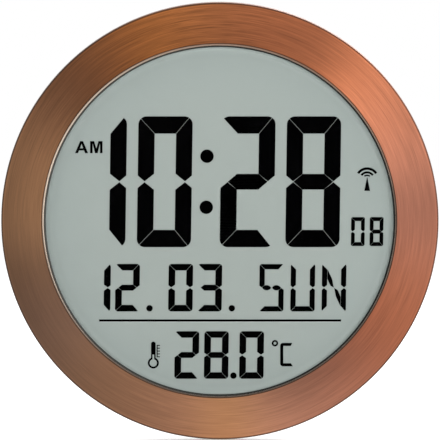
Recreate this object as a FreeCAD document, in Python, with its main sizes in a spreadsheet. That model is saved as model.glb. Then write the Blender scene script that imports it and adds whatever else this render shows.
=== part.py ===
import FreeCAD, Part
import math
import os
import re
import Sketcher
from FreeCAD import Placement, Rotation, Vector

# A round radio-controlled wall clock with a liquid crystal display.
# +X is to the right of someone who faces the display, +Z is up and -Y points out from the wall.
# The origin is the middle of the hanging slot's top, in the plane of the wall.
# Depths count outward from the wall, and heights on the dial count from its centre.

SIZES = {
    # the whole clock
    "rim_radius": 130.0,
    "hang_drop": 88.0,
    # the spun copper ring
    "ring_sheet": 0.8,
    "ring_front": 27.3,
    "ring_back": 17.0,
    "ring_slope": 0.103,
    "ring_mouth": 105.5,
    "ring_throat": 104.0,
    "ring_throat_depth": 25.4,
    "ring_corner": 1.2,
    "ring_lip_corner": 0.6,
    "tape_thick": 0.3,
    "tape_inner": 114.0,
    "tape_outer": 126.0,
    # the window and its gasket
    "lens_radius": 111.8,
    "lens_back": 23.8,
    "lens_front": 25.0,
    "gasket_inner": 103.3,
    "gasket_outer": 108.0,
    # the moulded front frame
    "frame_radius": 129.1,
    "frame_lip_radius": 129.9,
    "frame_lip_front": 16.8,
    "frame_wall": 2.5,
    "frame_corner": 1.6,
    "ledge_inner": 106.0,
    "ledge_back": 23.0,
    "lens_seat": 112.2,
    "rib_inner": 119.6,
    "rib_outer": 121.1,
    "rib_back": 17.5,
    # the display, from its front polariser to the foam behind it
    "glass_reach": 109.0,
    "polariser_front": 22.9,
    "glass_front": 22.65,
    "crystal_front": 21.55,
    "crystal_back": 21.4,
    "rear_glass_back": 20.3,
    "reflector_back": 20.05,
    "foam_back": 19.05,
    "contact_ledge": 4.0,
    "seal_reach": 108.4,
    "seal_wide": 1.5,
    # the carrier plate
    "carrier_reach": 110.0,
    "carrier_back": 17.05,
    "carrier_window_wide": 33.5,
    "carrier_window_high": 19.5,
    "carrier_window_corner": 2.0,
    "ear_circle": 113.6,
    "ear_radius": 5.0,
    "zebra_half": 42.0,
    "zebra_low": -108.4,
    "zebra_high": -106.0,
    "zebra_room": 0.15,
    "standoff_radius": 2.5,
    # bosses and screws
    "boss_circle": 114.3,
    "case_boss_radius": 4.0,
    "case_boss_front": 13.0,
    "post_radius": 3.5,
    "pilot_radius": 1.15,
    "pilot_end": 20.5,
    "carrier_pilot_end": 22.0,
    "screw_shank": 1.1,
    "screw_way": 1.4,
    "screw_head": 2.3,
    "screw_head_high": 1.6,
    "screw_seat": 8.0,
    "screw_well": 2.8,
    "case_screw_tip": 19.5,
    "carrier_screw_tip": 21.5,
    "cross_long": 2.6,
    "cross_wide": 0.6,
    "cross_deep": 0.8,
    # the rear case
    "case_radius": 128.6,
    "case_front": 13.2,
    "case_wall": 2.0,
    "case_corner": 7.0,
    "tongue_outer": 126.4,
    "tongue_inner": 124.8,
    "tongue_front": 15.2,
    "tongue_root": 11.0,
    # the battery box
    "box_half_wide": 28.75,
    "box_half_high": 16.0,
    "box_wall": 1.6,
    "box_floor": 17.2,
    "box_floor_front": 18.6,
    "door_half_wide": 29.9,
    "door_foot": -17.1,
    "door_back": 0.3,
    "door_front": 2.0,
    "door_room": 0.35,
    "hinge_depth": 2.2,
    "hinge_height": 17.8,
    "hinge_barrel": 1.6,
    "hinge_room": 2.7,
    "hinge_pin": 1.0,
    "hinge_bore": 1.05,
    "hinge_half": 26.6,
    "hinge_pin_end": 29.3,
    "knuckle_half": 27.0,
    "knuckle_end": 31.5,
    "knuckle_high": 2.6,
    "knuckle_front": 5.0,
    "notch_half": 6.0,
    "notch_high": 3.2,
    "notch_deep": 1.4,
    "door_shoulder": 3.8,
    "door_grip_half": 4.5,
    "door_grip_rib": 0.5,
    # cells and contacts
    "cell_radius": 7.25,
    "cell_half": 24.65,
    "cell_nub_radius": 2.75,
    "cell_nub": 1.2,
    "cell_height": 7.75,
    "cell_depth": 9.8,
    "contact_sheet": 0.4,
    "contact_half": 5.5,
    "contact_low": 3.4,
    "contact_top": 16.2,
    "contact_gap": 0.05,
    "tab_half": 1.5,
    "tab_low": 12.6,
    "tab_high": 13.0,
    "tab_reach": 33.0,
    "spring_wire": 0.35,
    "spring_wide": 3.6,
    "spring_narrow": 1.9,
    "spring_turns": 3.0,
    # the hanging plate and its pocket
    "plate_half": 15.0,
    "plate_low": -18.0,
    "plate_high": 9.0,
    "plate_back": 0.3,
    "plate_front": 1.3,
    "plate_corner": 2.0,
    "slot_half": 2.2,
    "entry_radius": 4.5,
    "entry_drop": -10.0,
    "pocket_half": 8.0,
    "pocket_low": -16.0,
    "pocket_high": 7.0,
    "pocket_front": 7.0,
    "pocket_wall": 1.5,
    "block_margin": 2.0,
    "plate_screw_across": 11.6,
    "plate_screw_drop": -4.5,
    "plate_screw_head": 2.0,
    "plate_screw_shank": 1.0,
    "plate_screw_tip": 6.5,
    "plate_room": 0.1,
    # the keys on the back
    "key_row": -60.0,
    "key_pitch": 16.0,
    "panel_half_wide": 43.0,
    "panel_half_high": 9.0,
    "panel_deep": 3.0,
    "panel_front": 5.0,
    "panel_corner": 3.0,
    "key_radius": 3.5,
    "key_room": 0.3,
    "key_back": 1.0,
    "key_flange": 4.6,
    "key_flange_back": 5.15,
    "key_flange_front": 6.2,
    "key_stem": 1.6,
    "reset_radius": 1.5,
    "reset_back": 3.3,
    "key_crown": 0.6,
    # switches and their plungers
    "switch_half": 3.0,
    "switch_back": 9.95,
    "switch_well": 12.7,
    "plunger_radius": 1.7,
    "plunger_room": 0.3,
    "plunger_back": 9.2,
    "plunger_front": 11.6,
    # the boards
    "board_back": 13.45,
    "board_front": 15.05,
    "board_low": -109.0,
    "board_shoulder": -95.0,
    "board_high": -44.0,
    "board_foot_half": 44.0,
    "board_half": 58.0,
    "board_corner": 2.0,
    "board_screw_across": 50.0,
    "board_screw_high": -52.0,
    "board_screw_low": -88.0,
    "board_screw_head": 1.9,
    "board_screw_head_high": 1.3,
    "board_screw_shank": 0.9,
    "board_screw_pilot": 0.95,
    "board_screw_tip": 18.4,
    "chip_radius": 9.0,
    "chip_high": 1.5,
    "chip_height": -84.0,
    "can_radius": 1.0,
    "can_long": 6.2,
    "can_across": 19.0,
    "can_height": -80.0,
    "cap_radius": 2.5,
    "cap_long": 5.4,
    "cap_across": -28.0,
    "cap_height": -78.0,
    "cap_pitch": 8.0,
    "chip_part_long": 2.0,
    "chip_part_wide": 1.2,
    "chip_part_high": 0.6,
    "chip_part_pitch": 4.0,
    "resistor_across": 27.0,
    "resistor_height": -95.0,
    "receiver_across": 48.0,
    "receiver_height": 45.0,
    "receiver_half_wide": 10.0,
    "receiver_half_high": 7.0,
    "receiver_thick": 1.0,
    "receiver_chip_wide": 5.0,
    "receiver_chip_high": 1.3,
    # the ferrite aerial
    "rod_radius": 5.0,
    "rod_half": 30.0,
    "rod_depth": 9.8,
    "rod_height": 45.0,
    "coil_radius": 6.4,
    "coil_half": 14.0,
    "holder_across": 22.0,
    "holder_half": 2.0,
    "holder_half_high": 7.0,
    "holder_back": 7.6,
    "rod_room": 0.05,
    # the temperature sensor and its vents
    "sensor_across": -78.0,
    "sensor_height": -55.0,
    "sensor_depth": 7.0,
    "sensor_radius": 1.6,
    "sensor_long": 4.0,
    "vent_half_wide": 0.8,
    "vent_half_high": 6.5,
    "vent_pitch": 3.2,
    # insulated wires
    "lead_radius": 0.65,
    "thin_lead_radius": 0.4,
    # the picture on the display
    "lean": 0.014,
    "time_high": 77.84,
    "time_wide": 32.21,
    "time_stroke": 9.73,
    "time_bar": 10.25,
    "time_middle": 9.27,
    "time_round": 4.83,
    "time_gap": 0.22,
    "time_foot": -15.74,
    "time_left": -88.43,
    "time_pitch": 39.01,
    "time_colon_step": 49.28,
    "colon_radius": 3.99,
    "colon_across": -8.19,
    "colon_low": 7.99,
    "colon_high": 38.39,
    "small_high": 28.3,
    "small_wide": 14.52,
    "small_stroke": 3.97,
    "small_bar": 3.88,
    "small_middle": 3.5,
    "small_round": 1.95,
    "small_gap": 0.16,
    "date_foot": -54.02,
    "day_left": -79.68,
    "month_left": -30.78,
    "date_pitch": 17.3,
    "dot_radius": 1.91,
    "day_dot": -41.83,
    "month_dot": 7.08,
    "dot_rise": 1.89,
    "temperature_foot": -94.09,
    "temperature_left": -27.12,
    "temperature_pitch": 17.56,
    "tenths_left": 11.4,
    "tenths_dot": 8.06,
    "letter_high": 28.2,
    "letter_wide": 14.48,
    "letter_stroke": 3.13,
    "letter_lens": 2.98,
    "letter_round": 1.46,
    "letter_left": 23.28,
    "letter_pitch": 18.56,
    "second_high": 17.22,
    "second_wide": 8.12,
    "second_stroke": 2.26,
    "second_bar": 2.36,
    "second_round": 1.05,
    "second_gap": 0.12,
    "second_foot": -15.1,
    "second_left": 77.86,
    "second_pitch": 11.09,
    "line_left": -71.76,
    "line_right": 72.08,
    "line_low": -60.0,
    "line_high": -58.77,
}

document = FreeCAD.newDocument("wall_clock")
sheet = document.addObject("Spreadsheet::Sheet", "dims")
for row, (alias, number) in enumerate(SIZES.items(), start=1):
    sheet.set("A%d" % row, alias)
    sheet.set("B%d" % row, str(number))
    sheet.setAlias("B%d" % row, alias)
document.recompute()

OUTWARD = Rotation(Vector(1, 0, 0), 90)
ACROSS = Rotation(Vector(0, 1, 0), 90)
finished = []


def cells(text):
    """An expression in which each alias is written as a cell of the sheet."""
    def cell(word):
        return "dims." + word.group() if word.group() in SIZES else word.group()
    return re.sub(r"[a-z][a-z_]+", cell, text)


def number(text):
    """The value of an expression, for the first position of what its constraint then holds."""
    result = sheet.evalExpression(cells(text))
    return float(getattr(result, "Value", result))


def bind(thing, bindings):
    for name, text in bindings.items():
        thing.setExpression(name, cells(text))
    return thing


def keep(thing, label):
    """Marks a finished sub-part, which is written under its label."""
    thing.Label = label
    finished.append(thing)
    return thing


def place(thing, across="0", depth="0", height="0", turn=Rotation()):
    """Puts a piece at a place on the dial: across, out from the wall, and up from the centre."""
    thing.Placement = Placement(Vector(), turn)
    return bind(thing, {
        "Placement.Base.x": across,
        "Placement.Base.y": "-(%s)" % depth,
        "Placement.Base.z": "%s - hang_drop" % height,
    })


def new_body(name):
    body = document.addObject("PartDesign::Body", name)
    place(body)
    return body


def origin_feature(body, role):
    return next(item for item in body.Origin.OriginFeatures if item.Role == role)


def new_sketch(body, name, role, offset="0"):
    """A sketch on one of the body's own planes, or on a level in front of it."""
    sketch = body.newObject("Sketcher::SketchObject", name)
    sketch.AttachmentSupport = [(origin_feature(body, role), "")]
    sketch.MapMode = "FlatFace"
    bind(sketch, {"AttachmentOffset.Base.z": offset})
    return sketch


def hold_point(sketch, geometry, end, corner, at):
    """Holds one point of a sketch at two expressions."""
    for kind, text, value in (("DistanceX", corner[0], at.x), ("DistanceY", corner[1], at.y)):
        index = sketch.addConstraint(Sketcher.Constraint(kind, -1, 1, geometry, end, value))
        bind(sketch, {"Constraints[%d]" % index: text})


def draw_outline(sketch, corners):
    """A closed outline through corners (u, v) or rounded corners (u, v, radius)."""
    points = [Vector(number(corner[0]), number(corner[1]), 0) for corner in corners]
    count = len(corners)
    starts, ends, arcs = [], [], []
    for index, corner in enumerate(corners):
        point = points[index]
        back = (points[index - 1] - point).normalize()
        ahead = (points[(index + 1) % count] - point).normalize()
        if len(corner) < 3:
            starts.append(point)
            ends.append(point)
            arcs.append(None)
            continue
        radius = number(corner[2])
        half = back.getAngle(ahead) / 2
        reach = radius / math.tan(half)
        middle = (back + ahead).normalize() * (radius / math.sin(half) - radius)
        ends.append(point + back * reach)
        starts.append(point + ahead * reach)
        arcs.append(Part.Arc(ends[-1], point + middle, starts[-1]))
    lines = []
    for index in range(count):
        segment = Part.LineSegment(starts[index], ends[(index + 1) % count])
        lines.append(sketch.addGeometry(segment, False))
    for index, corner in enumerate(corners):
        before, after = lines[index - 1], lines[index]
        if arcs[index] is None:
            sketch.addConstraint(Sketcher.Constraint("Coincident", before, 2, after, 1))
            hold_point(sketch, after, 1, corner, points[index])
            continue
        arc = sketch.addGeometry(arcs[index], False)
        entry = 1 if (sketch.getPoint(arc, 1) - ends[index]).Length < 1e-6 else 2
        sketch.addConstraint(Sketcher.Constraint("Tangent", before, 2, arc, entry))
        sketch.addConstraint(Sketcher.Constraint("Tangent", arc, 3 - entry, after, 1))
        held = sketch.addConstraint(Sketcher.Constraint("Radius", arc, number(corner[2])))
        bind(sketch, {"Constraints[%d]" % held: corner[2]})
        peak = sketch.addGeometry(Part.Point(points[index]), True)
        sketch.addConstraint(Sketcher.Constraint("PointOnObject", peak, 1, before))
        sketch.addConstraint(Sketcher.Constraint("PointOnObject", peak, 1, after))
        hold_point(sketch, peak, 1, corner, points[index])


def draw_circle(sketch, across, height, radius):
    centre = Vector(number(across), number(height), 0)
    circle = sketch.addGeometry(Part.Circle(centre, Vector(0, 0, 1), number(radius)), False)
    held = sketch.addConstraint(Sketcher.Constraint("Radius", circle, number(radius)))
    bind(sketch, {"Constraints[%d]" % held: radius})
    hold_point(sketch, circle, 3, (across, height), centre)


def rectangle(left, right, low, high, corner=None):
    corners = [(left, low), (right, low), (right, high), (left, high)]
    return [point + (corner,) for point in corners] if corner else corners


def draw(sketch, shapes):
    """Draws outlines, given as lists, and circles, given as (across, height, radius)."""
    for shape in shapes:
        if isinstance(shape, tuple):
            draw_circle(sketch, *shape)
        else:
            draw_outline(sketch, shape)


def turned(body, name, corners):
    """A revolution about the dial's axis of a profile in (radius, depth)."""
    sketch = new_sketch(body, name + "_profile", "XY_Plane")
    draw_outline(sketch, [(corner[0], "-(%s)" % corner[1]) + corner[2:] for corner in corners])
    feature = body.newObject("PartDesign::Revolution", name)
    feature.Profile = sketch
    feature.ReferenceAxis = (origin_feature(body, "Y_Axis"), [""])
    feature.Angle = 360
    sketch.Visibility = False
    return feature


def add(body, name, back, front, shapes):
    """A pad from one depth to another."""
    sketch = new_sketch(body, name + "_outline", "XZ_Plane", back)
    draw(sketch, shapes)
    feature = body.newObject("PartDesign::Pad", name)
    feature.Profile = sketch
    bind(feature, {"Length": "(%s) - (%s)" % (front, back)})
    sketch.Visibility = False
    document.recompute()
    return feature


def remove(body, name, back, front, shapes):
    """A pocket between two depths, checked against the solid that it is cut from."""
    before = body.Shape.Volume
    sketch = new_sketch(body, name + "_outline", "XZ_Plane", front)
    draw(sketch, shapes)
    feature = body.newObject("PartDesign::Pocket", name)
    feature.Profile = sketch
    bind(feature, {"Length": "(%s) - (%s)" % (front, back)})
    sketch.Visibility = False
    document.recompute()
    if not body.Shape.Volume < before - 1e-3:
        raise RuntimeError("%s cuts nothing" % name)
    return feature


def turned_part(label, corners):
    body = new_body(label + "_body")
    turned(body, label + "_turning", corners)
    document.recompute()
    return keep(body, label)


def plate_part(label, back, front, shapes):
    body = new_body(label + "_body")
    add(body, label + "_pad", back, front, shapes)
    return keep(body, label)


def block(name, across, depth, height):
    """A box that spans three pairs of expressions."""
    box = document.addObject("Part::Box", name)
    bind(box, {
        "Length": "(%s) - (%s)" % (across[1], across[0]),
        "Width": "(%s) - (%s)" % (depth[1], depth[0]),
        "Height": "(%s) - (%s)" % (height[1], height[0]),
    })
    return place(box, across[0], depth[1], height[0])


def post(name, radius, depth, across, height):
    """A cylinder that points out from the wall."""
    cylinder = document.addObject("Part::Cylinder", name)
    bind(cylinder, {"Radius": radius, "Height": "(%s) - (%s)" % (depth[1], depth[0])})
    return place(cylinder, across, depth[0], height, OUTWARD)


def bar(name, radius, across, depth, height):
    """A cylinder that lies from left to right."""
    cylinder = document.addObject("Part::Cylinder", name)
    bind(cylinder, {"Radius": radius, "Height": "(%s) - (%s)" % (across[1], across[0])})
    return place(cylinder, across[0], depth, height, ACROSS)


def taper(name, radii, depth, across, height):
    """A cone that points out from the wall."""
    cone = document.addObject("Part::Cone", name)
    bind(cone, {"Radius1": radii[0], "Radius2": radii[1]})
    bind(cone, {"Height": "(%s) - (%s)" % (depth[1], depth[0])})
    return place(cone, across, depth[0], height, OUTWARD)


def cut(name, base, tool):
    result = document.addObject("Part::Cut", name)
    result.Base = base
    result.Tool = tool
    return result


def fuse(name, shapes):
    result = document.addObject("Part::MultiFuse", name)
    result.Shapes = shapes
    return result


def group(name, shapes):
    """Separate solids that share one node."""
    result = document.addObject("Part::Compound", name)
    result.Links = shapes
    return result


def polar(radius, angle):
    """A place on the dial at a radius and an angle from the right, anticlockwise."""
    return "(%s) * cos(%s)" % (radius, angle), "(%s) * sin(%s)" % (radius, angle)


def octagon(reach, short="0"):
    """An octagon with flats at right, top, left and bottom, its foot raised by a little."""
    half = "(%s) * tan(22.5)" % reach
    foot = "%s + (%s)" % (half, short)
    low = "-(%s) + (%s)" % (reach, short)
    return [
        ("-(%s)" % foot, low), (foot, low), (reach, "-(%s)" % half), (reach, half),
        (half, reach), ("-(%s)" % half, reach), ("-(%s)" % reach, half),
        ("-(%s)" % reach, "-(%s)" % half),
    ]


CASE_SCREW_ANGLES = (0, 90, 180, 270)
CARRIER_SCREW_ANGLES = (45, 135, 225, 315)
KEYS = (("set", -2), ("up", -1), ("down", 0), ("wave", 1), ("reset", 2))


# The copper ring is one spun sheet: a rolled throat round the window, a wide and
# slightly conical face, a rounded corner and a short outer wall.
def face_depth(radius, below="0"):
    return "ring_front - (%s - ring_mouth) * ring_slope - (%s)" % (radius, below)


turned_part("bezel_ring", [
    ("ring_throat", "ring_throat_depth"),
    ("ring_mouth", face_depth("ring_mouth"), "ring_lip_corner"),
    ("rim_radius", face_depth("rim_radius"), "ring_corner"),
    ("rim_radius", "ring_back"),
    ("rim_radius - ring_sheet", "ring_back"),
    ("rim_radius - ring_sheet", face_depth("rim_radius - ring_sheet", "ring_sheet"),
     "ring_corner - ring_sheet"),
    ("ring_mouth + ring_sheet", face_depth("ring_mouth + ring_sheet", "ring_sheet")),
    ("ring_throat + ring_sheet", "ring_throat_depth"),
])
turned_part("bezel_tape", [
    ("tape_inner", face_depth("tape_inner", "ring_sheet")),
    ("tape_outer", face_depth("tape_outer", "ring_sheet")),
    ("tape_outer", face_depth("tape_outer", "ring_sheet + tape_thick")),
    ("tape_inner", face_depth("tape_inner", "ring_sheet + tape_thick")),
])

# A clear window lies in the frame, and a foam gasket seals it against the rolled throat.
plate_part("window_lens", "lens_back", "lens_front", [("0", "0", "lens_radius")])
plate_part("window_gasket", "lens_front", "ring_throat_depth",
           [("0", "0", "gasket_outer"), ("0", "0", "gasket_inner")])


# The frame is a moulded ring with a ledge for window and glass, a rib that centres
# the glass, four long posts for the case screws and four short ones for the carrier.
def make_front_frame():
    body = new_body("front_frame_body")
    under = "ring_sheet + tape_thick"
    turned(body, "frame_turning", [
        ("frame_lip_radius", "case_front"),
        ("frame_lip_radius", "frame_lip_front"),
        ("frame_radius", "frame_lip_front"),
        ("frame_radius", face_depth("frame_radius", under), "frame_corner"),
        ("lens_seat", face_depth("lens_seat", under)),
        ("lens_seat", "lens_back"),
        ("ledge_inner", "lens_back"),
        ("ledge_inner", "ledge_back"),
        ("rib_inner", "ledge_back"),
        ("rib_inner", "rib_back"),
        ("rib_outer", "rib_back"),
        ("rib_outer", "ledge_back"),
        ("frame_radius - frame_wall", "ledge_back"),
        ("frame_radius - frame_wall", "case_front"),
    ])
    document.recompute()
    long_posts = [polar("boss_circle", angle) for angle in CASE_SCREW_ANGLES]
    short_posts = [polar("boss_circle", angle) for angle in CARRIER_SCREW_ANGLES]
    add(body, "frame_long_posts", "case_boss_front", "ledge_back",
        [spot + ("post_radius",) for spot in long_posts])
    add(body, "frame_short_posts", "foam_back", "ledge_back",
        [spot + ("post_radius",) for spot in short_posts])
    remove(body, "frame_long_pilots", "case_boss_front", "pilot_end",
           [spot + ("pilot_radius",) for spot in long_posts])
    remove(body, "frame_short_pilots", "foam_back", "carrier_pilot_end",
           [spot + ("pilot_radius",) for spot in short_posts])
    keep(body, "front_frame")


make_front_frame()

# The display is a stack of octagons. The rear glass is shorter at its foot, so that
# the front glass has a ledge there for its contacts.
plate_part("lcd_front_polariser", "glass_front", "polariser_front", [octagon("glass_reach")])
plate_part("lcd_front_glass", "crystal_front", "glass_front", [octagon("glass_reach")])
plate_part("lcd_rear_glass", "rear_glass_back", "crystal_back",
           [octagon("glass_reach", "contact_ledge")])
plate_part("lcd_rear_reflector", "reflector_back", "rear_glass_back",
           [octagon("glass_reach", "contact_ledge")])
plate_part("lcd_foam_pad", "foam_back", "reflector_back",
           [octagon("glass_reach", "contact_ledge")])
plate_part("lcd_edge_seal", "crystal_back", "crystal_front",
           [octagon("seal_reach", "contact_ledge"),
            octagon("seal_reach - seal_wide", "contact_ledge")])


# The dark strokes lie in the layer between the two glasses. Each is a closed outline
# of corners (x, z), in which a pair (through, end) is an arc.
def dark_layer(outlines):
    back = number("crystal_back")
    thick = number("crystal_front") - back
    solids = []
    for outline in outlines:
        edges = []
        here = Vector(outline[0][0], -back, outline[0][1])
        first = here
        for step in outline[1:]:
            if isinstance(step[0], tuple):
                through = Vector(step[0][0], -back, step[0][1])
                there = Vector(step[1][0], -back, step[1][1])
                edges.append(Part.Arc(here, through, there).toShape())
            else:
                there = Vector(step[0], -back, step[1])
                edges.append(Part.LineSegment(here, there).toShape())
            here = there
        if (here - first).Length > 1e-6:
            edges.append(Part.LineSegment(here, first).toShape())
        solids.append(Part.Face(Part.Wire(edges)).extrude(Vector(0, -thick, 0)))
    return solids


def disc_outline(across, height, radius):
    return [(across + radius, height), ((across, height + radius), (across - radius, height)),
            ((across, height - radius), (across + radius, height))]


def mirror(outline, flip_x, flip_z):
    """An outline turned over inside its own box, in x about flip_x and in z about flip_z."""
    def flip(point):
        x = point[0] if flip_x is None else flip_x - point[0]
        z = point[1] if flip_z is None else flip_z - point[1]
        return x, z
    return [(flip(step[0]), flip(step[1])) if isinstance(step[0], tuple) else flip(step)
            for step in outline]


def set_down(outline, left, foot):
    """An outline moved to its place and leaned a little to the right."""
    def move(point):
        return left + point[0] + number("lean") * point[1], foot + point[1]
    return [(move(step[0]), move(step[1])) if isinstance(step[0], tuple) else move(step)
            for step in outline]


LEFT_SPLIT = 45
RIGHT_SPLIT = 55
TIP_SHARE = 0.42


def figure_strokes(wide, high, stroke, bar_high, middle, corner, gap):
    """The seven strokes of a figure, by the letters that they usually have."""
    slip = 0.7 * gap
    waist = high / 2
    tip, tip_rise = TIP_SHARE * stroke, 1.25 * gap
    outer_rise, inner_rise = 0.4 * middle, middle / 2 + gap / 2

    def on_corner(angle):
        """A point of the rounded corner at the top left, by its angle above the level."""
        turn = math.radians(angle)
        return corner * (1 - math.cos(turn)), high - corner * (1 - math.sin(turn))

    def upper(split):
        """The upper left stroke, cut off where the mitre meets the rounded corner."""
        end = on_corner(split)
        return [
            (stroke, high - bar_high - slip), (stroke, waist + inner_rise),
            (tip, waist + tip_rise), (0, waist + outer_rise), (0, high - corner),
            (on_corner(split / 2), (end[0] - slip / 2, end[1] - slip / 2)),
        ]

    left, right = on_corner(LEFT_SPLIT), on_corner(RIGHT_SPLIT)
    left_bend = on_corner((LEFT_SPLIT + 90) / 2)
    right_bend = on_corner((RIGHT_SPLIT + 90) / 2)
    top = [
        (stroke + slip, high - bar_high), (left[0] + slip / 2, left[1] + slip / 2),
        (left_bend, (corner, high)), (wide - corner, high),
        ((wide - right_bend[0], right_bend[1]),
         (wide - right[0] - slip / 2, right[1] + slip / 2)),
        (wide - stroke - slip, high - bar_high),
    ]
    centre = [
        (tip + gap, waist), (stroke, waist + middle / 2), (wide - stroke, waist + middle / 2),
        (wide - tip - gap, waist), (wide - stroke, waist - middle / 2), (stroke, waist - middle / 2),
    ]
    return {
        "a": top, "f": upper(LEFT_SPLIT), "g": centre,
        "b": mirror(upper(RIGHT_SPLIT), wide, None), "c": mirror(upper(RIGHT_SPLIT), wide, high),
        "d": mirror(top, None, high), "e": mirror(upper(LEFT_SPLIT), None, high),
    }


LIT = {"0": "abcdef", "1": "bc", "2": "abged", "3": "abgcd", "8": "abcdefg"}


def figure(character, strokes, left, foot):
    return [set_down(strokes[letter], left, foot) for letter in LIT[character]]


def dark_part(label, outlines):
    feature = document.addObject("Part::Feature", label + "_strokes")
    feature.Shape = Part.makeCompound(dark_layer(outlines))
    place(feature)
    return keep(feature, label)


def make_time():
    strokes = figure_strokes(*[number("time_" + word) for word in
                               ("wide", "high", "stroke", "bar", "middle", "round", "gap")])
    foot = number("time_foot")
    lefts = ["time_left", "time_left + time_pitch", "time_left + time_pitch + time_colon_step",
             "time_left + 2 * time_pitch + time_colon_step"]
    outlines = []
    for character, left in zip("1028", lefts):
        outlines += figure(character, strokes, number(left), foot)
    for height in (number("colon_low"), number("colon_high")):
        lean = number("lean") * height
        outlines.append(disc_outline(number("colon_across") + lean, height, number("colon_radius")))
    dark_part("time_digits", outlines)


def make_seconds():
    strokes = figure_strokes(
        number("second_wide"), number("second_high"), number("second_stroke"),
        number("second_bar"), number("second_bar"), number("second_round"),
        number("second_gap"))
    foot = number("second_foot")
    outlines = figure("0", strokes, number("second_left"), foot)
    outlines += figure("8", strokes, number("second_left + second_pitch"), foot)
    dark_part("seconds_digits", outlines)


def small_strokes():
    return figure_strokes(*[number("small_" + word) for word in
                            ("wide", "high", "stroke", "bar", "middle", "round", "gap")])


def make_date():
    strokes = small_strokes()
    foot = number("date_foot")
    outlines = figure("1", strokes, number("day_left"), foot)
    outlines += figure("2", strokes, number("day_left + date_pitch"), foot)
    outlines += figure("0", strokes, number("month_left"), foot)
    outlines += figure("3", strokes, number("month_left + date_pitch"), foot)
    for dot in ("day_dot", "month_dot"):
        outlines.append(disc_outline(number(dot), foot + number("dot_rise"), number("dot_radius")))
    dark_part("date_digits", outlines)


def make_temperature():
    strokes = small_strokes()
    foot = number("temperature_foot")
    outlines = figure("2", strokes, number("temperature_left"), foot)
    outlines += figure("8", strokes, number("temperature_left + temperature_pitch"), foot)
    outlines += figure("0", strokes, number("tenths_left"), foot)
    dot = number("tenths_dot")
    outlines.append(disc_outline(dot, foot + number("dot_rise"), number("dot_radius")))
    dark_part("temperature_digits", outlines)


make_time()
make_seconds()
make_date()
make_temperature()


# The day's letters share the strokes of the figures, with two lens-shaped strokes
# across the S and two blades along the diagonal of the N. The blade's corners count
# from the letter's left edge and from its waist.
BLADE = ((3.27, 11.03), (3.27, 5.34), (4.09, 3.32), (5.09, 1.31), (7.12, 0.08), (6.05, 5.25),
         (4.24, 8.94))


def make_weekday():
    wide, high = number("letter_wide"), number("letter_high")
    stroke, gap = number("letter_stroke"), number("small_gap")
    strokes = figure_strokes(wide, high, stroke, stroke, stroke, number("letter_round"), gap)
    foot = number("date_foot")
    left, pitch = number("letter_left"), number("letter_pitch")
    waist = high / 2
    lens = number("letter_lens")
    start, rise, swell, end = 1.6, 0.1, 4.88, 6.98
    left_lens = [(start, waist + rise), ((swell, waist + lens / 2), (end, waist)),
                 ((swell, waist - lens / 2), (start, waist + rise))]
    right_lens = mirror(left_lens, wide, high)
    blade = [(across, waist + up) for across, up in BLADE]
    outlines = [set_down(strokes[letter], left, foot) for letter in "afcd"]
    outlines += [set_down(shape, left, foot) for shape in (left_lens, right_lens)]
    outlines += [set_down(strokes[letter], left + pitch, foot) for letter in "fbedc"]
    outlines += [set_down(strokes[letter], left + 2 * pitch, foot) for letter in "fbec"]
    outlines += [set_down(shape, left + 2 * pitch, foot)
                 for shape in (blade, mirror(blade, wide, high))]
    dark_part("weekday_letters", outlines)


make_weekday()


# The small signs: AM, the radio mast with its waves, the thin line, the thermometer,
# the degree ring and the C.
def arc_band(across, height, radius, thick, spread):
    """A band of an arc about a centre below it, with square ends."""
    def at(distance, angle):
        turn = math.radians(angle)
        return across + distance * math.sin(turn), height + distance * math.cos(turn)
    outer, inner = radius, radius - thick
    return [at(outer, -spread), (at(outer, 0), at(outer, spread)), at(inner, spread),
            (at(inner, 0), at(inner, -spread))]


def ring_band(across, height, outer, inner):
    """A ring in two halves, so that each is one outline."""
    halves = []
    for side in (1, -1):
        halves.append([
            (across, height + outer),
            ((across + side * outer, height), (across, height - outer)),
            (across, height - inner),
            ((across + side * inner, height), (across, height + inner)),
        ])
    return halves


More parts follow.
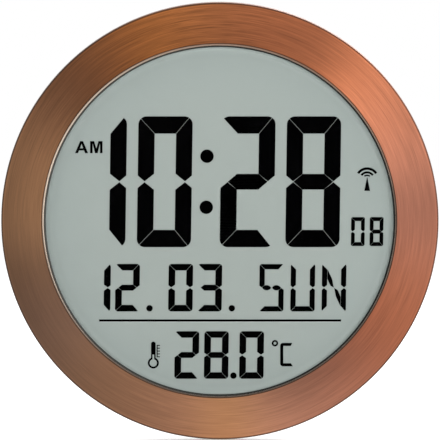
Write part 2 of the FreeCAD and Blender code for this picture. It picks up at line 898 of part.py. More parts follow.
def make_signs():
    letter_foot, letter_top = 40.18, 47.35
    tall = letter_top - letter_foot
    a_left, a_wide, a_foot, a_peak = -86.11, 7.8, 1.75, 1.7
    bar_low, bar_high, eye_top = 1.64, 2.89, 5.55
    def along(height):
        return (a_wide - a_peak) / 2 * height / tall
    def letter_a(side):
        half = a_wide / 2
        outline = [
            (half, tall), (along(tall), tall), (0, 0), (a_foot, 0),
            (a_foot + along(bar_low), bar_low), (half, bar_low), (half, bar_high),
            (a_foot + along(bar_high), bar_high), (half, eye_top),
        ]
        if side > 0:
            outline = mirror(outline, a_wide, None)
        return [(a_left + x, letter_foot + z) for x, z in outline]
    m_left, m_wide, m_stem, m_shoulder, m_vee = -77.14, 7.38, 1.49, 2.41, 1.54
    m_notch = 1.16
    def letter_m(side):
        half = m_wide / 2
        outline = [
            (0, 0), (0, tall), (m_shoulder, tall), (half, m_notch + m_vee), (half, 0),
            (half - m_vee / 2, 0), (m_stem, tall - m_notch), (m_stem, 0),
        ]
        if side > 0:
            outline = mirror(outline, m_wide, None)
        return [(m_left + x, letter_foot + z) for x, z in outline]
    outlines = [letter_a(-1), letter_a(1), letter_m(-1), letter_m(1)]

    mast_across, mast_foot, mast_top, mast_half = 87.56, 17.75, 26.24, 1.72
    outlines.append([(mast_across - mast_half, mast_foot), (mast_across + mast_half, mast_foot),
                     (mast_across, mast_top)])
    wave_centre = 24.54
    for radius, thick, spread in ((7.25, 1.51, 56), (4.83, 1.22, 54), (2.91, 0.88, 41)):
        outlines.append(arc_band(mast_across, wave_centre, radius, thick, spread))

    left, right = number("line_left"), number("line_right")
    low, high = number("line_low"), number("line_high")
    outlines.append([(left, low), (right, low), (right, high), (left, high)])

    tube_across, tube_half, bore = -39.55, 1.36, 0.51
    tube_top, mercury_foot = -71.98, -79.68
    outlines.append([
        (tube_across - tube_half, mercury_foot), (tube_across + tube_half, mercury_foot),
        (tube_across + tube_half, tube_top - tube_half),
        ((tube_across, tube_top), (tube_across - tube_half, tube_top - tube_half)),
    ])
    bulb_height, bulb_outer, bulb_inner = -84.69, 3.29, 2.17
    def side_of_bulb(side, radius):
        """The far point of the bulb on that side."""
        return tube_across + side * radius, bulb_height
    def neck(side, radius, half):
        """Where that wall of the tube meets the bulb."""
        return tube_across + side * half, bulb_height + math.sqrt(radius ** 2 - half ** 2)
    for side in (-1, 1):
        outlines.append([
            (tube_across + side * tube_half, mercury_foot), neck(side, bulb_outer, tube_half),
            (side_of_bulb(side, bulb_outer), (tube_across, bulb_height - bulb_outer)),
            (tube_across, bulb_height - bulb_inner),
            (side_of_bulb(side, bulb_inner), neck(side, bulb_inner, bore)),
            (tube_across + side * bore, mercury_foot),
        ])
    tick_left, tick_right, tick_top, tick_foot, tick_thin = -37.58, -35.63, -73.91, -81.3, 0.56
    scale_right = tick_left + tick_thin
    outlines.append([(tick_left, tick_foot), (scale_right, tick_foot), (scale_right, tick_top),
                     (tick_left, tick_top)])
    ticks = 5
    for index in range(ticks):
        level = tick_foot + (tick_top - tick_foot - tick_thin) * index / (ticks - 1)
        outlines.append([(scale_right, level), (tick_right, level),
                         (tick_right, level + tick_thin), (scale_right, level + tick_thin)])

    outlines += ring_band(32.74, -72.95, 1.91, 0.87)
    c_left, c_right, c_foot, c_top, c_thick, c_round = 35.86, 43.03, -86.68, -72.72, 1.83, 1.73
    cut_back, toe = 0.83, 0.35
    bend = c_round * (1 - math.sqrt(0.5))
    outlines.append([
        (c_left, c_foot + c_round), (c_left, c_top - c_round),
        ((c_left + bend, c_top - bend), (c_left + c_round, c_top)),
        (c_right, c_top), (c_right - cut_back, c_top - c_thick),
        (c_left + c_thick, c_top - c_thick), (c_left + c_thick, c_foot + c_thick),
        (c_right - cut_back, c_foot + c_thick), (c_right + toe, c_foot), (c_left + c_round, c_foot),
        ((c_left + bend, c_foot + bend), (c_left, c_foot + c_round)),
    ])
    dark_part("display_symbols", outlines)


make_signs()


# The carrier presses the display stack forward. It has a window for the battery box,
# a slot for the zebra strip, ears for its screws and stand-offs for the main board.
BOARD_SCREWS = [(side + "board_screw_across", height)
                for height in ("board_screw_high", "board_screw_low") for side in ("", "-")]


def make_carrier():
    body = new_body("display_carrier_body")
    add(body, "carrier_plate", "carrier_back", "foam_back", [octagon("carrier_reach")])
    ears = [polar("ear_circle", angle) for angle in CARRIER_SCREW_ANGLES]
    add(body, "carrier_ears", "carrier_back", "foam_back",
        [spot + ("ear_radius",) for spot in ears])
    screws = [polar("boss_circle", angle) for angle in CARRIER_SCREW_ANGLES]
    add(body, "carrier_standoffs", "board_front", "foam_back",
        [spot + ("standoff_radius",) for spot in BOARD_SCREWS])
    remove(body, "carrier_holes", "carrier_back", "foam_back", [
        rectangle("-carrier_window_wide", "carrier_window_wide", "-carrier_window_high",
                  "carrier_window_high", "carrier_window_corner"),
        rectangle("-zebra_half - zebra_room", "zebra_half + zebra_room",
                  "zebra_low - zebra_room", "zebra_high + zebra_room"),
    ] + [spot + ("screw_way",) for spot in screws])
    remove(body, "carrier_pilots", "board_front", "foam_back",
           [spot + ("board_screw_pilot",) for spot in BOARD_SCREWS])
    keep(body, "display_carrier")


make_carrier()
plate_part("zebra_strip", "board_front", "crystal_front",
           [rectangle("-zebra_half", "zebra_half", "zebra_low", "zebra_high")])


# A pan-head screw that points out from the wall, with a cross in its head.
def screw(name, across, height, seat, tip, head, head_high, shank):
    top = "%s - %s" % (seat, head_high)
    solid = fuse(name + "_blank", [
        post(name + "_head", head, (top, seat), across, height),
        post(name + "_shank", shank, (seat, tip), across, height),
    ])
    slots = []
    for turn, half in (("a", ("cross_long", "cross_wide")), ("b", ("cross_wide", "cross_long"))):
        slots.append(block(
            name + "_slot_" + turn,
            ("%s - %s / 2" % (across, half[0]), "%s + %s / 2" % (across, half[0])),
            (top, "%s + cross_deep" % top),
            ("%s - %s / 2" % (height, half[1]), "%s + %s / 2" % (height, half[1]))))
    return cut(name, solid, fuse(name + "_cross", slots))


def make_screws():
    case, carrier, board = [], [], []
    for angle in CASE_SCREW_ANGLES:
        across, height = polar("boss_circle", angle)
        case.append(screw("case_screw_%d" % angle, across, height, "screw_seat", "case_screw_tip",
                          "screw_head", "screw_head_high", "screw_shank"))
    for angle in CARRIER_SCREW_ANGLES:
        across, height = polar("boss_circle", angle)
        carrier.append(screw("carrier_screw_%d" % angle, across, height, "carrier_back",
                             "carrier_screw_tip", "screw_head", "screw_head_high", "screw_shank"))
    for index, (across, height) in enumerate(BOARD_SCREWS):
        board.append(screw("board_screw_%d" % index, across, height, "board_back",
                           "board_screw_tip", "board_screw_head", "board_screw_head_high",
                           "board_screw_shank"))
    keep(group("case_screw_set", case), "case_screws")
    keep(group("carrier_screw_set", carrier), "carrier_screws")
    keep(group("board_screw_set", board), "board_screws")


make_screws()


# The main board hangs behind the carrier and bears the clock circuit, the quartz can,
# two electrolytic capacitors, small chip parts and the five switches.
def make_main_board():
    body = new_body("main_board_body")
    add(body, "board_plate", "board_back", "board_front", [[
        ("-board_foot_half", "board_low"),
        ("board_foot_half", "board_low"),
        ("board_half", "board_shoulder"),
        ("board_half", "board_high", "board_corner"),
        ("-board_half", "board_high", "board_corner"),
        ("-board_half", "board_shoulder"),
    ]])
    remove(body, "board_holes", "board_back", "board_front",
           [spot + ("board_screw_pilot + plate_room",) for spot in BOARD_SCREWS])
    keep(body, "main_board")


make_main_board()


def make_chip():
    body = new_body("clock_chip_body")
    turned(body, "chip_turning", [
        ("0", "board_back"),
        ("chip_radius", "board_back"),
        ("chip_radius - chip_high", "board_back - chip_high", "chip_high"),
        ("0", "board_back - chip_high"),
    ])
    place(body, height="chip_height")
    document.recompute()
    keep(body, "clock_chip")


make_chip()
crystal_depth = "board_back - can_radius - plate_room"
keep(bar("crystal_tube", "can_radius", ("can_across - can_long / 2", "can_across + can_long / 2"),
         crystal_depth, "can_height"), "crystal_can")


def make_small_parts():
    cans = []
    for index in range(2):
        across = "cap_across + %d * cap_pitch" % index
        cans.append(post("cap_can_%d" % index, "cap_radius", ("board_back - cap_long", "board_back"),
                         across, "cap_height"))
    resistors = []
    for row in range(2):
        for column in range(4):
            left = "resistor_across + %d * chip_part_pitch" % column
            low = "resistor_height + %d * chip_part_pitch" % row
            resistors.append(block("resistor_%d_%d" % (row, column),
                                   (left, left + " + chip_part_long"),
                                   ("board_back - chip_part_high", "board_back"),
                                   (low, low + " + chip_part_wide")))
    keep(group("cap_set", cans), "board_capacitors")
    keep(group("resistor_set", resistors), "board_resistors")


make_small_parts()


# Each key on the back stands on the plunger of a small switch on the board.
# A collar inside the case keeps it in, and the reset key lies below its hole's edge.
def make_keys():
    switches = []
    for name, step in KEYS:
        across = "%d * key_pitch" % step
        housing = block("switch_block_" + name,
                        (across + " - switch_half", across + " + switch_half"),
                        ("switch_back", "board_back"),
                        ("key_row - switch_half", "key_row + switch_half"))
        well = post("switch_well_" + name, "plunger_radius + plunger_room",
                    ("switch_back", "switch_well"), across, "key_row")
        switches.append(cut("switch_" + name, housing, well))
        keep(post("plunger_post_" + name, "plunger_radius", ("plunger_back", "plunger_front"),
                  across, "key_row"), "plunger_" + name)
        radius = "reset_radius" if name == "reset" else "key_radius"
        back = "reset_back" if name == "reset" else "key_back"
        body = new_body("button_body_" + name)
        turned(body, "button_turning_" + name, [
            ("0", back),
            (radius, back, "key_crown"),
            (radius, "key_flange_back"),
            ("key_flange", "key_flange_back"),
            ("key_flange", "key_flange_front"),
            ("key_stem", "key_flange_front"),
            ("key_stem", "plunger_back"),
            ("0", "plunger_back"),
        ])
        place(body, across, height="key_row")
        document.recompute()
        keep(body, "button_" + name)
    keep(group("switch_set", switches), "tact_switches")


make_keys()


# The rear case is a shallow moulded tray with the battery box, the pocket and the
# bearing block of the hanging plate, the key panel, screw bosses and vents.
def make_rear_case():
    body = new_body("rear_case_body")
    turned(body, "case_turning", [
        ("0", "0"),
        ("case_radius", "0", "case_corner"),
        ("case_radius", "case_front"),
        ("tongue_outer", "case_front"),
        ("tongue_outer", "tongue_front"),
        ("tongue_inner", "tongue_front"),
        ("tongue_inner", "tongue_root + case_radius - case_wall - tongue_inner"),
        ("case_radius - case_wall", "tongue_root"),
        ("case_radius - case_wall", "case_wall", "case_corner - case_wall"),
        ("0", "case_wall"),
    ])
    document.recompute()
    bosses = [polar("boss_circle", angle) for angle in CASE_SCREW_ANGLES]
    add(body, "case_bosses", "case_wall", "case_boss_front",
        [spot + ("case_boss_radius",) for spot in bosses])
    add(body, "battery_box", "case_wall", "box_floor_front",
        [rectangle("-box_half_wide - box_wall", "box_half_wide + box_wall",
                   "-box_half_high - box_wall", "box_half_high + box_wall")])
    add(body, "knuckles", "door_back", "knuckle_front", [
        rectangle("-knuckle_end", "-knuckle_half", "hinge_height - knuckle_high",
                  "hinge_height + knuckle_high"),
        rectangle("knuckle_half", "knuckle_end", "hinge_height - knuckle_high",
                  "hinge_height + knuckle_high"),
    ])
    low, high = "hang_drop + plate_low", "hang_drop + plate_high"
    add(body, "hanger_block", "case_wall", "pocket_front + pocket_wall", [
        rectangle("-plate_half - block_margin", "plate_half + block_margin",
                  low + " - block_margin", high + " + block_margin", "plate_corner")])
    add(body, "key_panel", "case_wall", "panel_front", [
        rectangle("-panel_half_wide - case_wall", "panel_half_wide + case_wall",
                  "key_row - panel_half_high - case_wall", "key_row + panel_half_high + case_wall",
                  "panel_corner")])
    remove(body, "screw_wells", "0", "screw_seat", [spot + ("screw_well",) for spot in bosses])
    remove(body, "screw_ways", "0", "case_boss_front", [spot + ("screw_way",) for spot in bosses])
    remove(body, "battery_room", "0", "box_floor",
           [rectangle("-box_half_wide", "box_half_wide", "-box_half_high", "box_half_high")])
    remove(body, "door_opening", "0", "door_front + contact_gap", [
        rectangle("-door_half_wide - door_room", "door_half_wide + door_room",
                  "door_foot - door_room", "hinge_height - knuckle_high - door_room")])
    remove(body, "hinge_slot", "0", "knuckle_front", [
        rectangle("-knuckle_half", "knuckle_half", "box_half_high - door_room",
                  "hinge_height + hinge_room")])
    remove(body, "finger_notch", "0", "notch_deep", [
        rectangle("-notch_half", "notch_half", "door_foot - door_room - notch_high",
                  "door_foot")])
    sketch = new_sketch(body, "hinge_bores_outline", "YZ_Plane")
    draw_circle(sketch, "-hinge_depth", "hinge_height", "hinge_bore")
    before = body.Shape.Volume
    bores = body.newObject("PartDesign::Pocket", "hinge_bores")
    bores.Profile = sketch
    bores.Midplane = True
    bind(bores, {"Length": "2 * hinge_pin_end + 2 * door_room"})
    sketch.Visibility = False
    document.recompute()
    if not body.Shape.Volume < before - 1:
        raise RuntimeError("the hinge bores cut nothing")
    remove(body, "plate_seat", "0", "plate_front", [
        rectangle("-plate_half - plate_room", "plate_half + plate_room", low + " - plate_room",
                  high + " + plate_room", "plate_corner")])
    remove(body, "head_pocket", "0", "pocket_front", [
        rectangle("-pocket_half", "pocket_half", "hang_drop + pocket_low",
                  "hang_drop + pocket_high", "plate_corner")])
    remove(body, "plate_screw_pilots", "0", "plate_screw_tip + plate_room", [
        (across, "hang_drop + plate_screw_drop", "plate_screw_shank + plate_room / 2")
        for across in ("plate_screw_across", "-plate_screw_across")])
    remove(body, "key_recess", "0", "panel_deep", [
        rectangle("-panel_half_wide", "panel_half_wide", "key_row - panel_half_high",
                  "key_row + panel_half_high", "panel_corner")])
    remove(body, "key_holes", "0", "panel_front", [
        ("%d * key_pitch" % step, "key_row",
         ("reset_radius" if name == "reset" else "key_radius") + " + key_room")
        for name, step in KEYS])
    remove(body, "vents", "0", "case_wall", [
        rectangle("sensor_across + %d * vent_pitch - vent_half_wide" % step,
                  "sensor_across + %d * vent_pitch + vent_half_wide" % step,
                  "sensor_height - vent_half_high", "sensor_height + vent_half_high",
                  "vent_half_wide - contact_gap")
        for step in range(-2, 3)])
    tab_slots = []
    for height in ("cell_height", "-cell_height"):
        tab_slots.append(rectangle("-box_half_wide - box_wall", "-box_half_wide",
                                   height + " - tab_half - plate_room",
                                   height + " + tab_half + plate_room"))
    remove(body, "tab_slots", "tab_low - plate_room", "tab_high + plate_room", tab_slots)
    keep(body, "rear_case")


make_rear_case()


# The battery door swings on two pins that are one piece with it, along its top edge.
# A ribbed patch and a notch in the case give a finger its hold at the foot.
def make_door():
    leaf = block("door_leaf", ("-door_half_wide", "door_half_wide"), ("door_back", "door_front"),
                 ("door_foot", "hinge_height - door_shoulder"))
    neck = block("door_neck", ("-hinge_half", "hinge_half"), ("door_back", "door_front"),
                 ("hinge_height - door_shoulder - door_room", "hinge_height"))
    barrel = bar("door_barrel", "hinge_barrel", ("-hinge_half", "hinge_half"), "hinge_depth",
                 "hinge_height")
    pins = bar("door_pins", "hinge_pin", ("-hinge_pin_end", "hinge_pin_end"), "hinge_depth",
               "hinge_height")
    grooves = []
    for index in range(4):
        low = "door_foot + %d * 3 * door_grip_rib + 2 * door_grip_rib" % index
        grooves.append(block("door_groove_%d" % index, ("-door_grip_half", "door_grip_half"),
                             ("door_back", "door_back + door_grip_rib"),
                             (low, low + " + door_grip_rib")))
    whole = fuse("door_whole", [leaf, neck, barrel, pins])
    keep(cut("door_shape", whole, fuse("door_grooves", grooves)), "battery_door")


make_door()


# Two AA cells lie one above the other, head to tail.
def make_cell(label, side, height):
    """side is -1 where the raised pole is at the left."""
    ends = ("-cell_half", "cell_half")
    nub = ("cell_half", "cell_half + cell_nub") if side > 0 else ("-cell_half - cell_nub", "-cell_half")
    can = bar(label + "_can", "cell_radius", ends, "cell_depth", height)
    pole = bar(label + "_pole", "cell_nub_radius", nub, "cell_depth", height)
    keep(fuse(label + "_shape", [can, pole]), label)


make_cell("battery_cell_upper", -1, "cell_height")
make_cell("battery_cell_lower", 1, "-cell_height")


def biarc(start, start_way, end, end_way):
    """Two arcs that leave the start and reach the end in the given directions."""
    chord = end - start
    ways = start_way + end_way
    spread = 2 * (1 - start_way.dot(end_way))
    along = chord.dot(ways)
    reach = (math.sqrt(along * along + spread * chord.dot(chord)) - along) / spread
    first, last = start + start_way * reach, end - end_way * reach
    joint = (first + last) * 0.5
    edges = []
    for tail, peak, nose in ((start, first, joint), (joint, last, end)):
        middle = (tail + nose) * 0.5
        cosine = (middle - tail).Length / (peak - tail).Length
        edges.append(Part.Arc(tail, peak + (middle - peak) * (1 / (1 + cosine)), nose).toShape())
    return edges


def make_spring(base_across, tip_across, height):
    """A conical spring along X, from its wide turn on the plate to its narrow one on the cell."""
    wide, narrow = number("spring_wide"), number("spring_narrow")
    turns, wire = number("spring_turns"), number("spring_wire")
    way = 1 if tip_across > base_across else -1
    start, end = base_across + way * wire, tip_across - way * wire
    centre = Vector(0, -number("cell_depth"), height - number("hang_drop"))

    def at(turn):
        share = turn / turns
        radius = wide + (narrow - wide) * share
        angle = 2 * math.pi * turn
        return centre + Vector(start + (end - start) * share, radius * math.cos(angle),
                               radius * math.sin(angle))

    def heading(turn):
        nudge = 1e-5
        return (at(turn + nudge) - at(turn - nudge)).normalize()

    quarters = int(turns * 4)
    edges = []
    for index in range(quarters):
        here, there = index / 4, (index + 1) / 4
        edges += biarc(at(here), heading(here), at(there), heading(there))
    path = Part.Wire(edges)
    section = Part.Wire(Part.Circle(at(0), heading(0), wire).toShape())
    tube = path.makePipeShell([section], True, False)
    samples = [at(step / 48) for step in range(quarters * 12 + 1)]
    least = min((p - q).Length for i, p in enumerate(samples) for q in samples[i + 30:])
    print("least gap of the spring to itself %.2f mm" % (least - 2 * wire))
    return tube


def spring_feature(name, base, tip, height):
    feature = document.addObject("Part::Feature", name)
    feature.Shape = make_spring(number(base), number(tip), number(height))
    return feature


# The contacts are sprung sheet: a plate with a dimple for the raised pole, a plate with
# a conical spring, and at the other end one bridge that carries both.
def contact_plate(name, inner, outer, low, high):
    return block(name, (inner, outer), ("contact_low", "contact_top"), (low, high))


def make_contacts():
    wall = "box_half_wide - contact_gap"
    sheet_face = "(%s - contact_sheet)" % wall
    nub_end = "cell_half + cell_nub + contact_gap"
    left = contact_plate("positive_plate", "-(%s)" % wall, "-%s" % sheet_face,
                         "cell_height - contact_half", "cell_height + contact_half")
    dimple = bar("positive_dimple", "cell_nub_radius", ("-%s" % sheet_face, "-(%s)" % nub_end),
                 "cell_depth", "cell_height")
    tab = block("positive_tab", ("-tab_reach", "-%s" % sheet_face), ("tab_low", "tab_high"),
                ("cell_height - tab_half", "cell_height + tab_half"))
    keep(fuse("positive_shape", [left, dimple, tab]), "contact_positive")

    plate = contact_plate("negative_plate", "-(%s)" % wall, "-%s" % sheet_face,
                          "-cell_height - contact_half", "-cell_height + contact_half")
    tab = block("negative_tab", ("-tab_reach", "-%s" % sheet_face), ("tab_low", "tab_high"),
                ("-cell_height - tab_half", "-cell_height + tab_half"))
    coil = spring_feature("negative_coil", "-%s" % sheet_face, "-cell_half - contact_gap",
                          "-cell_height")
    keep(group("negative_shape", [fuse("negative_sheet", [plate, tab]), coil]),
         "contact_negative_spring")

    bridge = contact_plate("bridge_plate", sheet_face, wall, "-cell_height - contact_half",
                           "cell_height + contact_half")
    dimple = bar("bridge_dimple", "cell_nub_radius", (nub_end, sheet_face), "cell_depth",
                 "-cell_height")
    coil = spring_feature("bridge_coil", sheet_face, "cell_half + contact_gap", "cell_height")
    keep(group("bridge_shape", [fuse("bridge_sheet", [bridge, dimple]), coil]), "contact_bridge")


make_contacts()


# The steel hanging plate has a keyhole: the screw's head goes in at the wide end, and
# the clock then drops until the slot's round top rests on the screw's shank.
def make_hanger():
    body = new_body("hanger_plate_body")
    low, high = "hang_drop + plate_low", "hang_drop + plate_high"
    add(body, "hanger_sheet", "plate_back", "plate_front",
        [rectangle("-plate_half", "plate_half", low, high, "plate_corner")])
    remove(body, "keyhole_entry", "plate_back", "plate_front",
           [("0", "hang_drop + entry_drop", "entry_radius")])
    remove(body, "keyhole_slot", "plate_back", "plate_front",
           [rectangle("-slot_half", "slot_half", "hang_drop + entry_drop", "hang_drop")])
    remove(body, "keyhole_top", "plate_back", "plate_front", [("0", "hang_drop", "slot_half")])
    spots = [(across, "hang_drop + plate_screw_drop")
             for across in ("plate_screw_across", "-plate_screw_across")]
    cones = [taper("sink_%d" % index,
                   ("plate_screw_head + plate_room", "plate_screw_shank + plate_room"),
                   ("plate_back", "plate_front"), across, height)
             for index, (across, height) in enumerate(spots)]
    sheet_shape = cut("hanger_shape", body, fuse("hanger_sinks", cones))
    keep(sheet_shape, "hanger_plate")
    screws = []
    for index, (across, height) in enumerate(spots):
        name = "plate_screw_%d" % index
        head = taper(name + "_head", ("plate_screw_head", "plate_screw_shank"),
                     ("plate_back", "plate_front"), across, height)
        shank = post(name + "_shank", "plate_screw_shank", ("plate_front", "plate_screw_tip"),
                     across, height)
        slots = []
        for turn, half in (("a", ("cross_long", "cross_wide")), ("b", ("cross_wide", "cross_long"))):
            slots.append(block(
                name + "_slot_" + turn,
                ("%s - %s / 2" % (across, half[0]), "%s + %s / 2" % (across, half[0])),
                ("plate_back", "plate_back + cross_deep / 2"),
                ("%s - %s / 2" % (height, half[1]), "%s + %s / 2" % (height, half[1]))))
        screws.append(cut(name, fuse(name + "_blank", [head, shank]), fuse(name + "_cross", slots)))
    keep(group("plate_screw_set", screws), "hanger_screws")


make_hanger()


# The time signal's receiver: a ferrite rod with its coil in two snap holders, and a
# small board with the receiver circuit.
def make_aerial():
    rod = bar("rod_core", "rod_radius", ("-rod_half", "rod_half"), "rod_depth", "rod_height")
    keep(rod, "ferrite_rod")
    sleeve = bar("coil_sleeve", "coil_radius", ("-coil_half", "coil_half"), "rod_depth", "rod_height")
    bore = bar("coil_bore", "rod_radius + rod_room", ("-coil_half", "coil_half"), "rod_depth",
               "rod_height")
    keep(cut("coil_shape", sleeve, bore), "antenna_coil")
    holders = []
    for side in (-1, 1):
        middle = "%d * holder_across" % side
        across = (middle + " - holder_half", middle + " + holder_half")
        jaw = block("holder_block_%d" % side, across, ("holder_back", "carrier_back"),
                    ("rod_height - holder_half_high", "rod_height + holder_half_high"))
        seat = bar("holder_seat_%d" % side, "rod_radius + rod_room", across, "rod_depth", "rod_height")
        holders.append(cut("holder_%d" % side, jaw, seat))
    keep(group("holder_set", holders), "antenna_holders")
    keep(block("receiver_plate",
               ("receiver_across - receiver_half_wide", "receiver_across + receiver_half_wide"),
               ("carrier_back - receiver_thick", "carrier_back"),
               ("receiver_height - receiver_half_high", "receiver_height + receiver_half_high")),
         "receiver_board")
    back = "carrier_back - receiver_thick"
    keep(block("receiver_circuit",
               ("receiver_across - receiver_chip_wide / 2", "receiver_across + receiver_chip_wide / 2"),
               (back + " - receiver_chip_high", back),
               ("receiver_height - receiver_chip_wide / 2", "receiver_height + receiver_chip_wide / 2")),
         "receiver_chip")


make_aerial()
keep(bar("sensor_bead", "sensor_radius",
         ("sensor_across - sensor_long / 2", "sensor_across + sensor_long / 2"),
         "sensor_depth", "sensor_height"), "temperature_sensor")


# A wire is straight runs joined by arcs that are as large as the shorter run allows.
def wire(points, radius):
    """A round wire through hand-laid points (across, depth, height) on the dial."""
    drop = number("hang_drop")
    stops = [Vector(across, -depth, height - drop) for across, depth, height in points]
    edges, radii = [], []
    here = stops[0]
    for index in range(1, len(stops) - 1):
        peak = stops[index]
        back, ahead = stops[index - 1] - peak, stops[index + 1] - peak
        reach = 0.45 * min(back.Length, ahead.Length)
        back.normalize()
        ahead.normalize()
        half = back.getAngle(ahead) / 2
        bend = reach * math.tan(half)
        radii.append(round(bend, 1))
        middle = (back + ahead).normalize() * (bend / math.sin(half) - bend)
        edges.append(Part.LineSegment(here, peak + back * reach).toShape())
        edges.append(Part.Arc(peak + back * reach, peak + middle, peak + ahead * reach).toShape())
        here = peak + ahead * reach
    edges.append(Part.LineSegment(here, stops[-1]).toShape())
    path = Part.Wire(edges)
    section = Part.Wire(Part.Circle(stops[0], stops[1] - stops[0], radius).toShape())
    tube = path.makePipeShell([section], True, False)
    expected = math.pi * radius ** 2 * path.Length
    print("wire radii %s, volume over section times length %.4f" % (radii, tube.Volume / expected))
    return tube


def wire_part(label, routes, radius):
    feature = document.addObject("Part::Feature", label + "_tubes")
    tubes = [wire(route, radius) for route in routes]
    feature.Shape = tubes[0] if len(tubes) == 1 else Part.makeCompound(tubes)
    return keep(feature, label)


# Each route starts at what the wire is soldered to, and ends square on a board's face.
def make_wires():
    thick, thin = number("lead_radius"), number("thin_lead_radius")
    tab = number("tab_reach")
    top, foot = number("tab_low"), number("board_back")
    cell = number("cell_height")
    plus_pad, minus_pad = (-54.0, -50.0), (-44.0, -50.0)
    wire_part("battery_wire_red", [[
        (-tab + 1.0, top - thick, cell), (-tab - 4.5, top - thick, cell),
        (-43.0, 9.5, -8.0), (-50.5, 8.0, -28.0), (plus_pad[0], 7.0, plus_pad[1]),
        (plus_pad[0], foot, plus_pad[1]),
    ]], thick)
    wire_part("battery_wire_black", [[
        (-tab + 1.0, top - thick, -cell), (-tab - 3.5, top - thick, -cell),
        (-39.5, 10.0, -20.0), (-43.0, 8.0, -36.0), (minus_pad[0], 7.0, minus_pad[1]),
        (minus_pad[0], foot, minus_pad[1]),
    ]], thick)
    receiver_face = number("carrier_back - receiver_thick")
    strands = []
    for index in range(3):
        across = 42.0 + 2.2 * index
        pad = 44.0 + 2.2 * index
        strands.append([
            (across, receiver_face, 40.5), (across, 10.5, 40.5), (across + 0.5, 9.5, 22.0),
            (across + 1.0, 9.0, -4.0), (pad, 8.5, -30.0), (pad, 8.0, -47.5), (pad, foot, -47.5),
        ])
    wire_part("receiver_leads", strands, thin)
    bead = number("sensor_across") + number("sensor_long") / 2
    level, depth = number("sensor_height"), number("sensor_depth")
    pair = []
    for side in (-1, 1):
        height = level + side * 0.7
        pad = level - 3.0 + 1.5 * side
        pair.append([
            (bead, depth, height), (bead + 6.0, depth, height), (-63.0, depth, pad + 1.0),
            (-54.0, depth, pad), (-54.0, foot, pad),
        ])
    wire_part("sensor_leads", pair, thin)


make_wires()

document.recompute()
os.makedirs("parts", exist_ok=True)
for item in document.Objects:
    if "Invalid" in item.State or "Error" in item.State:
        raise RuntimeError("%s did not compute: %s" % (item.Name, item.State))
for item in finished:
    if item.Shape.isNull() or not item.Shape.isValid() or item.Shape.Volume < 1e-6:
        raise RuntimeError("%s is not a sound solid" % item.Label)
for item in finished:
    item.Shape.exportStep("parts/%s.step" % item.Label)
print("%d sub-parts written" % len(finished))
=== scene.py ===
import math
import bpy
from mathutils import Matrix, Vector


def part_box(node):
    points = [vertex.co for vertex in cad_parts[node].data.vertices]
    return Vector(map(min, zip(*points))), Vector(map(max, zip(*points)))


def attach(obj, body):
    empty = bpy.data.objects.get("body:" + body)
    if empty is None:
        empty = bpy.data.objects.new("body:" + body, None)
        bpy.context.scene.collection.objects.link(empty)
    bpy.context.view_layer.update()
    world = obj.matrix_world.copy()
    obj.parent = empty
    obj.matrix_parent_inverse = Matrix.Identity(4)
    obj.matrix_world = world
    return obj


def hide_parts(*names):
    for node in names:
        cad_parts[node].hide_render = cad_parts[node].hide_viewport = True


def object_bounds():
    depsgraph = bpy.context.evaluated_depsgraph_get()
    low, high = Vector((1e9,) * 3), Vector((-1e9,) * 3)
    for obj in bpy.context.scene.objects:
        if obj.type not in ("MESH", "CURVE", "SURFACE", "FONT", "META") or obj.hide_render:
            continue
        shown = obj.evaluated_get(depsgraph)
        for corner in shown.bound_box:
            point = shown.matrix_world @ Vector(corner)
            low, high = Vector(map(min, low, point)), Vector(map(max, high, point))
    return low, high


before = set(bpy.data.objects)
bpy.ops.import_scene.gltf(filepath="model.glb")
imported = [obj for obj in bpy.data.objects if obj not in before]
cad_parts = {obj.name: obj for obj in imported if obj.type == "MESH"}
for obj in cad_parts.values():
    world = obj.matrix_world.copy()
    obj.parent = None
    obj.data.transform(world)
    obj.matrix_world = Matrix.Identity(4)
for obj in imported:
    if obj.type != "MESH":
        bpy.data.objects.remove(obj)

cad_box = [list(corner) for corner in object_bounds()]
mm = 0.001


# The studio is a pale floor just under the clock, a plain white surround and soft lamps that
# face the dial. The clock is seen from the front and a little from above, as large in the
# frame as in the photograph.
ring_low, ring_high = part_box("bezel_ring")
dial = Vector((0, 0, (ring_low.z + ring_high.z) / 2))
rim_radius = (ring_high.x - ring_low.x) / 2
frame_pixels = 440
rim_pixels = 218.68
dial_pixel_across, dial_pixel_down = 219.87, 220.75
pixel = rim_radius / rim_pixels
camera_distance = 1.2
camera_raised = math.radians(3)

view = bpy.data.cameras.new("front_camera")
view.type = "ORTHO"
view.ortho_scale = frame_pixels * pixel
camera = bpy.data.objects.new("front_camera", view)
camera_up = Vector((0, math.sin(camera_raised), math.cos(camera_raised)))
camera_back = Vector((0, -math.cos(camera_raised), math.sin(camera_raised)))
camera.location = Vector((
    (frame_pixels / 2 - dial_pixel_across) * pixel, (ring_low.y + ring_high.y) / 2, dial.z))
camera.location += camera_up * (dial_pixel_down - frame_pixels / 2) * pixel
camera.location += camera_back * camera_distance
camera.rotation_euler = (math.pi / 2 - camera_raised, 0, 0)
bpy.context.scene.collection.objects.link(camera)
bpy.context.scene.camera = camera
bpy.context.scene.view_settings.view_transform = "Standard"
clear_layers = 32
bpy.context.scene.cycles.transparent_max_bounces = clear_layers


def deselect():
    bpy.ops.object.select_all(action="DESELECT")


def operator(operation, reflected=False):
    """What a sign such as + or < does between signals and numbers."""
    def apply(self, other):
        first, second = (other, self) if reflected else (self, other)
        return self.math(operation, first, second)
    return apply


